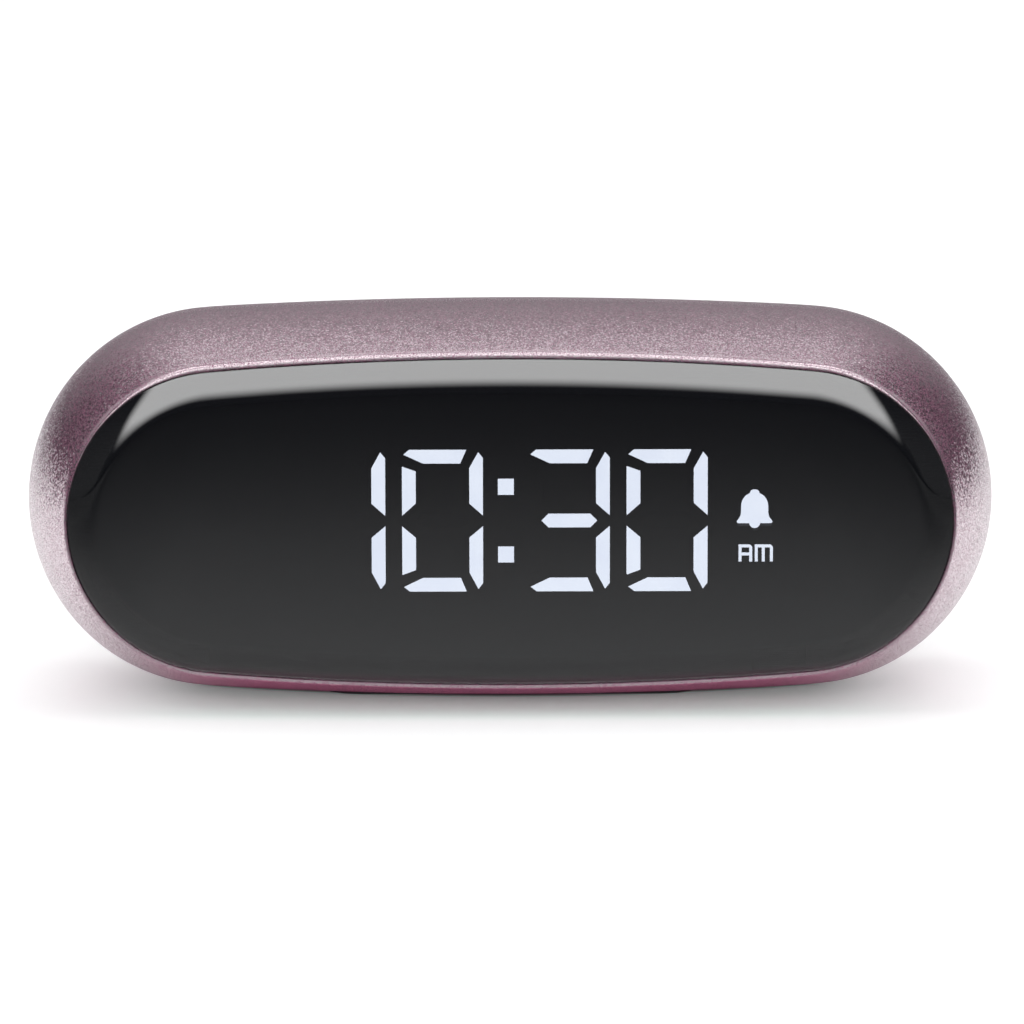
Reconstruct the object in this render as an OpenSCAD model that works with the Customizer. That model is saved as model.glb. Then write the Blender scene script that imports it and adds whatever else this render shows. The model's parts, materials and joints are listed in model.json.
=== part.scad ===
// Mini alarm clock: a barrel-shaped metal sleeve, closed in front by a dark lens
// over a segment display and behind by a screwed cover that holds the controls.
// Millimetres. X runs to the right of the display, Y from the display to the back,
// Z up. The origin lies on the table under the middle of the case.

/* [Case] */
// Width of the case at its widest section
case_w = 100; // [90:1:130]
// Height of the case at its widest section
case_h = 40; // [38:0.5:50]
// Depth of the case from front rim to rear rim
case_d = 33; // [32:0.5:45]
// Rise of the top over the round ends, at the widest section
case_crown = 0.75; // [0.3:0.05:1.5]
// Rise of the top over the round ends, at the rims
rim_crown = 1.25; // [0.5:0.05:2]
// Swell of the ends beyond the rims
bulge_side = 4.05; // [3:0.05:5]
// Swell of the top and bottom beyond the rims
bulge_top = 2.3; // [1.5:0.1:3]
// Thickness of the case wall
wall_t = 2; // [1.4:0.1:2.4]
// Width of the rim around the lens and the cover
rim_t = 0.9; // [0.7:0.05:1.3]
// Height of the foot under the belly
foot_proud = 0.3; // [0.2:0.05:1]
// Length of the foot
foot_l = 40; // [25:1:45]
// Depth of the foot
foot_w = 9; // [6:0.5:12]

/* [Lens] */
// Depth of the pocket that the lens sits in
lens_pocket = 2; // [1.8:0.1:3]
// Width of the flange behind the lens
lens_seat_w = 2.4; // [2:0.1:3]
// Width of the rolled edge of the lens and of the cover
roll_w = 3.4; // [2.5:0.1:4.5]
// Drop of the lens over its rolled edge
roll_drop = 1.15; // [0.6:0.05:1.5]
// Further rise of the lens towards its middle
lens_crown = 0.45; // [0.1:0.05:0.8]
// Thickness of the adhesive gasket behind the lens
gasket_t = 0.3; // [0.2:0.05:0.5]

/* [Display] */
// Height of a digit
digit_h = 14.7; // [10:0.1:16]
// Width of a digit
digit_w = 8.3; // [6:0.05:8.8]
// Width of a segment's stroke
stroke = 1.46; // [1:0.02:1.8]
// Distance between the digits of a pair
digit_pitch = 9.95; // [9:0.05:10.5]
// Side of a colon dot
colon_dot = 1.7; // [1:0.1:2.2]
// Depth of the light box behind the lens
light_box_d = 5.2; // [3.5:0.1:6]

/* [Inside] */
// Room beside the battery cell, up to the posts of the main board
battery_gap = 2.3; // [1:0.1:6]
// Height of the battery cell
battery_h = 26; // [18:1:27]
// Thickness of the battery cell
battery_t = 8.5; // [5:0.5:9]
// Thickness of the circuit boards
board_t = 1.2; // [0.8:0.1:1.6]
// Room between the main board and the rear cover
board_gap = 6.2; // [6:0.1:8]
// Radius of the speaker
speaker_r = 10; // [7:0.5:10.5]
// Depth of the speaker
speaker_d = 4; // [3:0.1:4.4]

/* [Controls] */
// Diameter of a key
key_d = 6.4; // [5:0.1:7]
// Height of a key over the cover
key_proud = 0.8; // [0.5:0.05:1.4]
// Travel of a key
key_travel = 0.3; // [0.2:0.05:0.5]
// Gap around a key in its hole
key_clearance = 0.15; // [0.1:0.05:0.3]
// Length of the thumb piece of the alarm slider
slider_l = 4.2; // [3:0.1:5]
// Travel of the alarm slider
slider_travel = 2; // [1.5:0.1:3]
// Thickness of the rear cover
cover_t = 2; // [1.6:0.1:2.4]

/* [Hidden] */
$fn = 48;
end_steps = 12;
crown_steps = 5;
top_first = end_steps;
bottom_first = 3 * end_steps + 2 * crown_steps;

case_z = foot_proud + case_h / 2;
half_d = case_d / 2;
front_y = -half_d;
rear_y = half_d;

// Clearances of fixed pieces
slip = 0.1;
seam = 0.05;

// Front stack, from the lens back to the frame
lens_clear = 0.1;
lens_sunk = 0.15;
lens_edge_y = front_y + lens_sunk;
lens_seat_y = front_y + lens_pocket;
lens_back_y = lens_seat_y - gasket_t;
flange_t = 1.2;
flange_y = lens_seat_y + flange_t;
light_gap = 0.2;
light_front_y = lens_back_y + light_gap;
light_back_y = light_front_y + light_box_d;
lamp_board_y = light_back_y + board_t;
plate_y = lamp_board_y;
plate_t = 1.6;
plate_back_y = plate_y + plate_t;

// Rear stack, from the cover towards the front
lens_face_y = lens_edge_y - roll_drop - lens_crown;
key_top_y = -lens_face_y;
cover_face_y = key_top_y - key_proud;
cover_sunk = 0.3;
cover_edge_y = rear_y - cover_sunk;
cover_inner_y = cover_face_y - cover_t;
cover_pocket = 2.5;
cover_seat_y = rear_y - cover_pocket;
cover_seat_w = 1;
ledge_t = 1.2;
ledge_y = cover_seat_y - ledge_t;
cover_wall = 2.6;
board_back_y = cover_inner_y - board_gap;
board_y = board_back_y - board_t;

// Sizes of the mouth that the lens and the cover sit in
mouth_a = case_w / 2 - bulge_side - rim_t;
mouth_b = case_h / 2 - bulge_top - rim_t;
mouth_r = mouth_b - rim_crown;
mouth_end_x = mouth_a - mouth_r;

// Frame and main board
frame_gap = 0.3;
frame_inset = cover_seat_w + frame_gap;
frame_wall = 1.4;
lip_wall = 0.9;
lip_l = 0.9;
cover_post_r = 2.3;
cover_post_out = 6.5;
cover_post_x = mouth_end_x + cover_post_out;
cover_post_z = 7;
cover_post_gap = 0.2;
cover_post_end = cover_inner_y - cover_post_gap;
cover_screw_r = 0.95;
screw_sunk = 1.2;
board_post_r = 2;
board_screw_r = 0.7;
pilot_clear = 0.05;
post_drill = 7;
board_margin = 1.2;
board_room = 3.6;
post_inset_x = 3;
post_inset_z = 2.7;
board_half_w = cover_post_x - cover_post_r - board_margin;
board_half_h = mouth_b - board_room;
board_post_x = board_half_w - post_inset_x;
board_post_z = board_half_h - post_inset_z;

// Battery, between ribs of the frame
rib_t = 1.2;
rib_l = 4;
rib_d = 5;
rib_corner = 2;
tape_t = 0.2;
battery_y = plate_back_y + tape_t;
battery_end_x = board_post_x - board_post_r - rib_t - battery_gap;
battery_w = 2 * battery_end_x;
rib_z = battery_h / 2 - rib_l - rib_corner;
plug_w = 4.4;
plug_h = 5.6;
plug_l = 4.6;
plug_x = board_post_x - plug_w / 2 + slip;
lead_r = 0.45;
lead_z = 1;
lead_run = 1.2;

// Display
display_x = 3;
digit_z = -0.19;
light_box_w = 55;
light_box_h = 20;
lamp_screw_inset = 1.7;
lamp_screw_z = -4;
lamp_screw_grip = 3;
lamp_screw_x = [
    display_x - light_box_w / 2 + lamp_screw_inset,
    display_x + light_box_w / 2 - lamp_screw_inset
];
lamp_head_r = 1.3;
lamp_head_h = 0.9;
lamp_seat_y = plate_back_y - lamp_head_h - slip;
ribbon_gap = 3;
ribbon_x = -battery_end_x - ribbon_gap;
ribbon_w = 5;
ribbon_t = 0.2;
socket_w = 1.6;
socket_l = 1.4;
socket_end = 0.4;
socket_h = ribbon_w + 2 * socket_end;
tongue_edge_x = ribbon_x - socket_w;
tongue_edge = 1;
tongue_h = socket_h + 2 * tongue_edge;
pair_gap = 12.9;
first_digit_x = -16.84;
digit_x = [
    first_digit_x,
    first_digit_x + digit_pitch,
    first_digit_x + digit_pitch + pair_gap,
    first_digit_x + 2 * digit_pitch + pair_gap
];
colon_x = (digit_x[1] + digit_x[2]) / 2;
colon_z = 3.5;
mark_gap = 8.9;
mark_x = digit_x[3] + mark_gap;
bell_z = 0.78;
bell_r = 1.35;
period_z = -3.4;
period_w = 3.6;
period_h = 2;
window_t = 1.5;
window_clear = 0.04;
// Lit segments of each digit, as a to g: 1, 0, 3 and 0
lit = ["bc", "abcdef", "abcdg", "abcdef"];

// Speaker
speaker_post_gap = 14;
speaker_x = speaker_post_gap - cover_post_x;
speaker_z = 0;
speaker_gasket_t = 0.4;
speaker_front_y = cover_inner_y - speaker_gasket_t;
speaker_back_y = speaker_front_y - speaker_d;
speaker_wall = 1;
magnet_gap = 4;
magnet_r = speaker_r - magnet_gap;
collar_l = 2;
collar_wall = 0.9;
sound_r = 0.6;
sound_pitch = 2.3;
sound_rings = 2;

// Controls: the keys stand in a row between the speaker and a cover post
key_r = key_d / 2;
key_z = 4;
key_margin = 1.1;
key_shoulder = 0.8;
key_flange_r = key_r + key_shoulder;
key_first_x = speaker_x + speaker_r + collar_wall + key_margin + key_flange_r;
key_last_x = cover_post_x - cover_post_r - key_margin - key_flange_r;
key_x = [for (i = [0:3]) key_first_x + (key_last_x - key_first_x) * i / 3];
key_flange_t = 0.8;
key_flange_y = cover_inner_y - seam - key_flange_t;
key_stem_r = 1.5;
key_stem_l = 0.25;
key_stem_y = key_flange_y - key_stem_l;
key_edge_r = 0.4;
tact_side = 6;
tact_h = 3.5;
tact_top_y = board_back_y + tact_h;
plunger_r = 1.7;
plunger_clear = 0.1;
plunger_in = 1.4;
plunger_room = 0.2;
plunger_y = tact_top_y - plunger_in;
plunger_well_y = plunger_y - key_travel - plunger_room;
plunger_top_y = key_stem_y - seam / 2;
slider_x = 3;
slider_z = -8;
slider_w = 2.6;
slider_rest_x = slider_x - slider_travel / 2;
slider_lap = 1;
slider_plate_l = slider_l + 2 * slider_travel + 2 * slider_lap;
slider_plate_w = 5;
slider_plate_y = key_flange_y;
slide_body_l = 8.6;
slide_body_w = 3.8;
lever_side = 1.6;
lever_in = 1.2;
lever_room = 0.2;
lever_top_gap = 0.4;
lever_y = tact_top_y - lever_in;
lever_well_y = lever_y - lever_room;
lever_top_y = cover_inner_y - lever_top_gap;
usb_post_gap = 7.5;
usb_x = board_post_x - usb_post_gap;
usb_z = -8;
usb_l = 8.94;
usb_w = 3.26;
usb_wall = 0.3;
usb_sunk = 0.4;
usb_base_t = 1.6;
usb_mouth_y = cover_face_y - usb_sunk;
usb_base_y = board_back_y + usb_base_t;
usb_clear = 0.25;
tongue_w = 6.7;
tongue_t = 0.7;
tongue_sunk = 0.6;
tongue_y = usb_mouth_y - tongue_sunk;

// Touch pad under the top of the case
electrode_half_l = 6;
electrode_t = 0.15;

// Radius of the long top arc of a rounded outline with half sizes a and b and end radius r
function crown_radius(a, b, r) = (pow(a - r, 2) + b * b - r * r) / (2 * (b - r));

// Closed outline of round ends joined by long shallow arcs, counted from the right-hand end
function outline(a, b, r) =
    let (
        cx = a - r,
        big = crown_radius(a, b, r),
        join = atan2(big - b, cx),
        span = 180 - 2 * join
    )
    concat(
        [for (i = [0:end_steps - 1])
            let (t = join * i / end_steps) [cx + r * cos(t), r * sin(t)]],
        [for (i = [0:2 * crown_steps - 1])
            let (t = join + span * i / (2 * crown_steps)) [big * cos(t), b - big + big * sin(t)]],
        [for (i = [0:2 * end_steps - 1])
            let (t = 180 - join + join * i / end_steps) [-cx + r * cos(t), r * sin(t)]],
        [for (i = [0:2 * crown_steps - 1])
            let (t = 180 + join + span * i / (2 * crown_steps)) [big * cos(t), big - b + big * sin(t)]],
        [for (i = [0:end_steps - 1])
            let (t = 360 - join + join * i / end_steps) [cx + r * cos(t), r * sin(t)]]
    );

// Outline of the outer skin at depth y, drawn in by t
function skin_b(y) = case_h / 2 - bulge_top * pow(y / half_d, 2);
function skin_crown(y) = case_crown + (rim_crown - case_crown) * pow(y / half_d, 2);
function skin(y, t) =
    outline(case_w / 2 - bulge_side * pow(y / half_d, 2) - t, skin_b(y) - t, skin_b(y) - skin_crown(y) - t);

// Outline of the mouth, drawn in by t
function mouth(t) = outline(mouth_a - t, mouth_b - t, mouth_r - t);

// Points of an outline standing at depth y
function at(y, points) = [for (p = points) [p[0], y, case_z + p[1]]];

function joined(lists) = [for (one = lists) for (p = one) p];

function arc_points(cx, cz, r, a0, a1, n) =
    [for (i = [0:n]) let (t = a0 + (a1 - a0) * i / n) [cx + r * cos(t), cz + r * sin(t)]];

function stadium(l, w) = concat(
    arc_points((l - w) / 2, 0, w / 2, -90, 90, 8),
    arc_points((w - l) / 2, 0, w / 2, 90, 270, 8)
);

function round_rect(w, h, r) = concat(
    arc_points(w / 2 - r, h / 2 - r, r, 0, 90, 4),
    arc_points(r - w / 2, h / 2 - r, r, 90, 180, 4),
    arc_points(r - w / 2, r - h / 2, r, 180, 270, 4),
    arc_points(w / 2 - r, r - h / 2, r, 270, 360, 4)
);

// Drop of a rolled edge at distance t from the edge
roll_radius = (roll_w * roll_w + roll_drop * roll_drop) / (2 * roll_drop);
function roll(t) = t >= roll_w ? 0 : roll_radius - sqrt(pow(roll_radius, 2) - pow(roll_w - t, 2));

// Solid between successive outlines, closed at both ends
module loft(rings) {
    n = len(rings[0]);
    m = len(rings);
    sides = [
        for (i = [0:m - 2])
            for (j = [0:n - 1])
                let (k = (j + 1) % n)
                    each [[i * n + j, i * n + k, i * n + n + k], [i * n + j, i * n + n + k, i * n + n + j]]
    ];
    caps = [[for (j = [0:n - 1]) n - 1 - j], [for (j = [0:n - 1]) (m - 1) * n + j]];
    polyhedron(joined(rings), concat(sides, caps));
}

// Ring-shaped solid: successive outlines, the last joined to the first
module ring_loft(rings) {
    n = len(rings[0]);
    m = len(rings);
    polyhedron(joined(rings), [
        for (i = [0:m - 1])
            for (j = [0:n - 1])
                let (k = (j + 1) % n, q = ((i + 1) % m) * n)
                    each [[i * n + j, i * n + k, q + k], [i * n + j, q + k, q + j]]
    ]);
}

// Patch of the skin between two insets, from outline point first over count steps
module skin_patch(first, count, half_l, rows, outer_t, inner_t) {
    ys = [for (i = [0:rows]) -half_l + 2 * half_l * i / rows];
    function strip(y, t) = at(y, [for (j = [0:count]) skin(y, t)[first + j]]);
    function back_to_front(points) = [for (i = [0:len(points) - 1]) points[len(points) - 1 - i]];
    loft([for (y = ys) concat(strip(y, outer_t), back_to_front(strip(y, inner_t)))]);
}

// Flat piece between two depths, drawn in the plane of the display
module slab(y0, y1) {
    translate([0, y1, case_z]) rotate([90, 0, 0]) linear_extrude(y1 - y0) children();
}

// Round bar along Y
module bar(x, z, r, y0, y1) {
    translate([x, y1, case_z + z]) rotate([90, 0, 0]) cylinder(h = y1 - y0, r = r);
}

// Round piece about a line along Y, from a profile of radius against depth
module turned(x, z) {
    translate([x, 0, case_z + z]) rotate([-90, 0, 0]) rotate_extrude() children();
}

// Block between two depths, centred at x and z
module block(x, z, w, h, y0, y1) {
    translate([x - w / 2, y0, case_z + z - h / 2]) cube([w, y1 - y0, h]);
}

// Wire with a square turn at each point of its route
module wire(route, r) {
    sides = 8;
    last = len(route) - 1;
    function along(i) = route[min(i + 1, last)] - route[max(i - 1, 0)];
    function unit(v) = v / norm(v);
    rings = [
        for (i = [0:last])
            let (d = unit(along(i)), u = unit(cross([0, 0, 1], d)), v = cross(d, u))
                [for (j = [0:sides - 1])
                    let (t = -360 * j / sides) route[i] + r * cos(t) * u + r * sin(t) * v]
    ];
    loft(rings);
}

// Screw along Y: pan head with a cross recess, shank towards -Y below its seat
module screw(x, z, seat_y, head_r, head_h, shank_r, shank_l) {
    recess = head_r * 1.1;
    slot_w = head_r * 0.28;
    slot_y = seat_y + head_h * 0.4;
    difference() {
        union() {
            bar(x, z, head_r, seat_y, seat_y + head_h);
            bar(x, z, shank_r, seat_y - shank_l, seat_y + head_h / 2);
        }
        block(x, z, recess, slot_w, slot_y, seat_y + head_h + slip);
        block(x, z, slot_w, recess, slot_y, seat_y + head_h + slip);
    }
}

// Segment of a digit, drawn with its edges moved out by g
module segment(name, g) {
    w = digit_w / 2;
    h = digit_h / 2;
    inner = w - stroke;
    tip = stroke * 0.35;
    low = h - stroke;
    if (name == "a" || name == "d") {
        flip = name == "a" ? 1 : -1;
        scale([1, flip]) polygon([
            [-w + tip / 3 - g, h - tip], [-w + 1.5 * tip - g, h + g], [w - 3.3 * tip + g, h + g],
            [w - 4.5 * tip + g, low - g], [-w + 4.2 * tip - g, low - g]
        ]);
    }
    if (name == "b" || name == "c") {
        flip = name == "b" ? 1 : -1;
        scale([1, flip]) polygon([
            [inner - g, 1.2 * stroke - g], [w + g, tip - g], [w + g, h - 1.7 * tip + g],
            [w - tip, h - tip / 2 + g], [inner - g, low - tip + g]
        ]);
    }
    if (name == "f" || name == "e") {
        flip = name == "f" ? 1 : -1;
        scale([1, flip]) polygon([
            [-w - g, low - tip / 2 + g], [-inner + g, low - 1.5 * tip + g],
            [-inner + g, 1.2 * stroke - g], [-w - g, tip - g]
        ]);
    }
    if (name == "g") {
        end_x = inner + tip / 3;
        half = stroke / 2;
        polygon([
            [-end_x - g, 0], [half - end_x, half + g], [end_x - half, half + g],
            [end_x + g, 0], [end_x - half, -half - g], [half - end_x, -half - g]
        ]);
    }
}

// Segments of all four digits: those that are lit, or those that are dark
module segments(is_lit, g) {
    for (i = [0:3])
        for (name = ["a", "b", "c", "d", "e", "f", "g"])
            if ((len(search(name, lit[i])) > 0) == is_lit)
                translate([digit_x[i], digit_z]) segment(name, g);
}

module colon(g) {
    for (side = [-1, 1])
        translate([colon_x, digit_z + side * colon_z]) square(colon_dot + 2 * g, center = true);
}

// Alarm bell: dome, flared mouth and clapper
module bell(g) {
    r = bell_r + g;
    mouth_w = bell_r * 1.3 + g;
    lip_z = -bell_r;
    lip = bell_r * 0.3 + g;
    clapper = bell_r * 0.35 + g;
    translate([mark_x, digit_z + bell_z]) polygon(concat(
        arc_points(0, bell_r * 0.5, r, 0, 70, 6),
        arc_points(0, bell_r * 1.3, clapper, 30, 150, 6),
        arc_points(0, bell_r * 0.5, r, 110, 180, 6),
        [[-r, lip_z + 2 * lip], [-mouth_w, lip_z + lip], [-mouth_w, lip_z - g]],
        arc_points(0, lip_z - g, clapper, 180, 360, 6),
        [[mouth_w, lip_z - g], [mouth_w, lip_z + lip], [r, lip_z + 2 * lip]]
    ));
}

module period_mark(g) {
    translate([mark_x, digit_z + period_z]) square([period_w + 2 * g, period_h + 2 * g], center = true);
}

module case_shell() {
    rim_land = 0.35;
    rim_round = 0.4;
    steps = 12;
    inner_steps = 7;
    function skin_at(y, t) = at(y, skin(y, t));
    function mouth_at(y, t) = at(y, mouth(t));
    first = front_y + rim_round;
    color("rosybrown") ring_loft(concat(
        [
            mouth_at(flange_y, lens_seat_w),
            mouth_at(lens_seat_y, lens_seat_w),
            mouth_at(lens_seat_y, 0),
            mouth_at(front_y + rim_t / 6, 0),
            skin_at(front_y, rim_t * 5 / 6),
            skin_at(front_y, rim_t - rim_land),
            skin_at(front_y + rim_round * 0.3, rim_round * 0.45)
        ],
        [for (i = [0:steps]) let (y = first - 2 * first * i / steps) skin_at(y, 0)],
        [
            skin_at(rear_y - rim_round * 0.3, rim_round * 0.45),
            skin_at(rear_y, rim_t - rim_land),
            skin_at(rear_y, rim_t * 5 / 6),
            mouth_at(rear_y - rim_t / 6, 0),
            mouth_at(cover_seat_y, 0),
            mouth_at(cover_seat_y, cover_seat_w),
            mouth_at(ledge_y, cover_seat_w)
        ],
        [for (i = [0:inner_steps])
            let (y = ledge_y + (flange_y - ledge_y) * i / inner_steps) skin_at(y, wall_t)]
    ));
}

module base_pad() {
    over = foot_proud + wall_t;
    slices = 8;
    color("dimgray") difference() {
        linear_extrude(over) polygon(stadium(foot_l, foot_w));
        skin_patch(bottom_first + 1, 2 * crown_steps - 2, foot_w, slices, -seam, 3 * wall_t);
    }
}

module front_lens() {
    rolls = 6;
    crowns = 4;
    depth = mouth_b - lens_clear;
    function rise(t) = lens_crown * (1 - pow(1 - t / depth, 2));
    function lens_at(t) = at(lens_edge_y - roll_drop + roll(t) - rise(t), mouth(lens_clear + t));
    inner_t = depth - 2 * rim_crown;
    color("black") loft(concat(
        [for (i = [0:crowns]) lens_at(inner_t + (roll_w - inner_t) * i / crowns)],
        [for (i = [1:rolls]) lens_at(roll_w - roll_w * i / rolls)],
        [at(lens_back_y, mouth(lens_clear))]
    ));
}

module lens_gasket() {
    color("darkslategray") slab(lens_back_y, lens_seat_y) difference() {
        polygon(mouth(2 * lens_clear));
        polygon(mouth(lens_seat_w));
    }
}

module display_housing() {
    pilot_d = lamp_screw_grip + slip;
    color("black") difference() {
        slab(light_front_y, light_back_y) difference() {
            translate([display_x, 0]) square([light_box_w, light_box_h], center = true);
            segments(true, 0);
            segments(false, 0);
            colon(0);
            bell(0);
            period_mark(0);
        }
        for (x = lamp_screw_x)
            bar(x, lamp_screw_z, board_screw_r + pilot_clear, light_back_y - pilot_d, light_back_y + slip);
    }
}

module lit_segments() {
    color("aliceblue") slab(light_front_y, light_front_y + window_t) {
        segments(true, -window_clear);
        colon(-window_clear);
    }
}

module unlit_segments() {
    color("gray") slab(light_front_y, light_front_y + window_t) segments(false, -window_clear);
}

module bell_window() {
    color("aliceblue") slab(light_front_y, light_front_y + window_t) bell(-window_clear);
}

module period_window() {
    color("aliceblue") slab(light_front_y, light_front_y + window_t) period_mark(-window_clear);
}

module display_board() {
    edge = 1;
    color("darkgreen") difference() {
        slab(light_back_y, lamp_board_y) union() {
            translate([display_x, 0]) square([light_box_w, light_box_h - 2 * edge], center = true);
            translate([tongue_edge_x, -tongue_h / 2]) square([display_x - tongue_edge_x, tongue_h]);
        }
        for (x = lamp_screw_x)
            bar(x, lamp_screw_z, board_screw_r + slip, light_back_y - slip, lamp_board_y + slip);
    }
}

module led_chips() {
    chip = [0.9, 0.6, 0.9];
    w = digit_w / 2 - stroke / 2;
    h = digit_h / 2 - stroke / 2;
    spots = concat(
        [for (x = digit_x) each [
            [x - stroke / 2, h], [x + w, h / 2], [x + w, -h / 2], [x - stroke / 2, -h],
            [x - w, -h / 2], [x - w, h / 2], [x, 0]
        ]],
        [[colon_x, colon_z], [colon_x, -colon_z], [mark_x, bell_z], [mark_x, period_z]]
    );
    color("lightyellow")
        for (p = spots)
            block(p[0], digit_z + p[1], chip[0], chip[2], light_back_y - chip[1], light_back_y);
}

module display_screws() {
    shank_l = lamp_seat_y - light_back_y + lamp_screw_grip;
    color("silver")
        for (x = lamp_screw_x)
            screw(x, lamp_screw_z, lamp_seat_y, lamp_head_r, lamp_head_h, board_screw_r, shank_l);
}

module chassis() {
    slot_room = 0.3;
    color("lightgray") difference() {
        union() {
            slab(plate_y, plate_back_y) polygon(mouth(frame_inset));
            slab(flange_y, plate_y) difference() {
                polygon(mouth(frame_inset));
                polygon(mouth(frame_inset + frame_wall));
            }
            slab(flange_y - lip_l, flange_y + lip_l) difference() {
                polygon(mouth(lens_seat_w + slip));
                polygon(mouth(lens_seat_w + slip + lip_wall));
            }
            for (x = [-cover_post_x, cover_post_x])
                for (z = [-cover_post_z, cover_post_z])
                    bar(x, z, cover_post_r, plate_y + plate_t / 2, cover_post_end);
            for (x = [-board_post_x, board_post_x])
                for (z = [-board_post_z, board_post_z])
                    bar(x, z, board_post_r, plate_y + plate_t / 2, board_y);
            for (x = [-1, 1])
                for (z = [-1, 1])
                    block(x * (battery_end_x + slip + rib_t / 2), z * (rib_z + rib_l / 2), rib_t, rib_l,
                        plate_y + plate_t / 2, plate_back_y + rib_d);
        }
        for (x = [-cover_post_x, cover_post_x])
            for (z = [-cover_post_z, cover_post_z])
                bar(x, z, cover_screw_r + pilot_clear, cover_post_end - post_drill, cover_post_end + slip);
        for (x = [-board_post_x, board_post_x])
            for (z = [-board_post_z, board_post_z])
                bar(x, z, board_screw_r + pilot_clear, board_y - post_drill, board_y + slip);
        for (x = lamp_screw_x) {
            bar(x, lamp_screw_z, board_screw_r + slip, plate_y - slip, plate_back_y + slip);
            bar(x, lamp_screw_z, lamp_head_r + slip, lamp_seat_y, plate_back_y + slip);
        }
        block(ribbon_x, 0, socket_w + 2 * slot_room, socket_h + 2 * slot_room,
            plate_y - slip, plate_back_y + slip);
    }
}

module battery_cell() {
    edge = 1.5;
    color("lightsteelblue") slab(battery_y, battery_y + battery_t)
        polygon(round_rect(battery_w, battery_h, edge));
}

module battery_tape() {
    margin = 4;
    color("white") slab(plate_back_y, battery_y)
        square([battery_w - margin, battery_h - margin], center = true);
}

module battery_plug() {
    color("ivory") block(plug_x, 0, plug_w, plug_h, board_y - plug_l, board_y);
}

module battery_leads() {
    lead_y = battery_y + battery_t / 2;
    plug_end_y = board_y - plug_l;
    z = [case_z - lead_z, case_z + lead_z];
    for (i = [0:1])
        color(["black", "red"][i]) wire([
            [battery_end_x, lead_y, z[i]],
            [battery_end_x + lead_run, lead_y, z[i]],
            [plug_x - lead_run, lead_y + lead_run / 3, z[i]],
            [plug_x - lead_run / 3, lead_y + lead_run, z[i]],
            [plug_x, plug_end_y - lead_run, z[i]],
            [plug_x, plug_end_y, z[i]]
        ], lead_r);
}

module main_board() {
    corner = 2;
    color("darkgreen") difference() {
        slab(board_y, board_back_y) polygon(round_rect(2 * board_half_w, 2 * board_half_h, corner));
        for (x = [-board_post_x, board_post_x])
            for (z = [-board_post_z, board_post_z])
                bar(x, z, board_screw_r + 2 * slip, board_y - slip, board_back_y + slip);
    }
}

module controller_chip() {
    chip_side = 7;
    chip_t = 0.9;
    chip_x = -10;
    chip_z = -4;
    color("black") block(chip_x, chip_z, chip_side, chip_side, board_y - chip_t, board_y);
}

module clock_crystal() {
    can_r = 1;
    can_l = 6;
    can_x = -2;
    can_z = -9;
    color("silver") translate([can_x, board_y - can_r, case_z + can_z]) rotate([0, 90, 0])
        cylinder(h = can_l, r = can_r);
}

module board_passives() {
    chip_w = 1.6;
    chip_h = 0.8;
    chip_t = 0.6;
    first_x = 4;
    pitch = 3;
    row_z = 6;
    color("tan")
        for (i = [0:4])
            for (z = [-row_z, row_z])
                block(first_x + pitch * i, z, chip_w, chip_h, board_y - chip_t, board_y);
}

module board_screws() {
    head_r = 1.4;
    head_h = 1;
    grip = 5;
    color("silver")
        for (x = [-board_post_x, board_post_x])
            for (z = [-board_post_z, board_post_z])
                screw(x, z, board_back_y, head_r, head_h, board_screw_r, board_t + grip);
}

module display_ribbon() {
    y0 = lamp_board_y + socket_l;
    y1 = board_y - socket_l;
    steps = 10;
    sway = 0.5;
    function sway_x(i) = sway * sin(360 * i / steps);
    path = [for (i = [0:steps]) [ribbon_x + sway_x(i), y0 + (y1 - y0) * i / steps]];
    color("white") translate([0, 0, case_z - ribbon_w / 2]) linear_extrude(ribbon_w) polygon(concat(
        [for (i = [0:steps]) path[i] - [ribbon_t / 2, 0]],
        [for (i = [0:steps]) path[steps - i] + [ribbon_t / 2, 0]]
    ));
}

module ribbon_sockets() {
    color("ivory") {
        block(ribbon_x, 0, socket_w, socket_h, lamp_board_y, lamp_board_y + socket_l);
        block(ribbon_x, 0, socket_w, socket_h, board_y - socket_l, board_y);
    }
}

module tact_switches() {
    color("dimgray")
        for (x = key_x)
            difference() {
                block(x, key_z, tact_side, tact_side, board_back_y, tact_top_y);
                bar(x, key_z, plunger_r + plunger_clear, plunger_well_y, tact_top_y + slip);
            }
}

module plunger(i) {
    color("whitesmoke") bar(key_x[i], key_z, plunger_r, plunger_y, plunger_top_y);
}

module time_plunger() {
    plunger(0);
}

module alarm_plunger() {
    plunger(1);
}

module plus_plunger() {
    plunger(2);
}

module minus_plunger() {
    plunger(3);
}

// Key: round cap with a softened edge, a flange that the cover holds back, and a stem
module key(i) {
    color("dimgray") turned(key_x[i], key_z) polygon(concat(
        [[0, key_stem_y], [key_stem_r, key_stem_y], [key_stem_r, key_flange_y]],
        [[key_flange_r, key_flange_y], [key_flange_r, key_flange_y + key_flange_t]],
        [[key_r, key_flange_y + key_flange_t]],
        arc_points(key_r - key_edge_r, key_top_y - key_edge_r, key_edge_r, 0, 90, 4),
        [[0, key_top_y]]
    ));
}

module time_key() {
    key(0);
}

module alarm_key() {
    key(1);
}

module plus_key() {
    key(2);
}

module minus_key() {
    key(3);
}

module slide_switch() {
    well_l = lever_side + slider_travel + 2 * slip;
    color("silver") difference() {
        block(slider_x, slider_z, slide_body_l, slide_body_w, board_back_y, tact_top_y);
        block(slider_x, slider_z, well_l, lever_side + 2 * slip, lever_well_y, tact_top_y + slip);
    }
}

module slide_lever() {
    color("black")
        block(slider_rest_x, slider_z, lever_side, lever_side, lever_y, lever_top_y);
}

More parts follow.
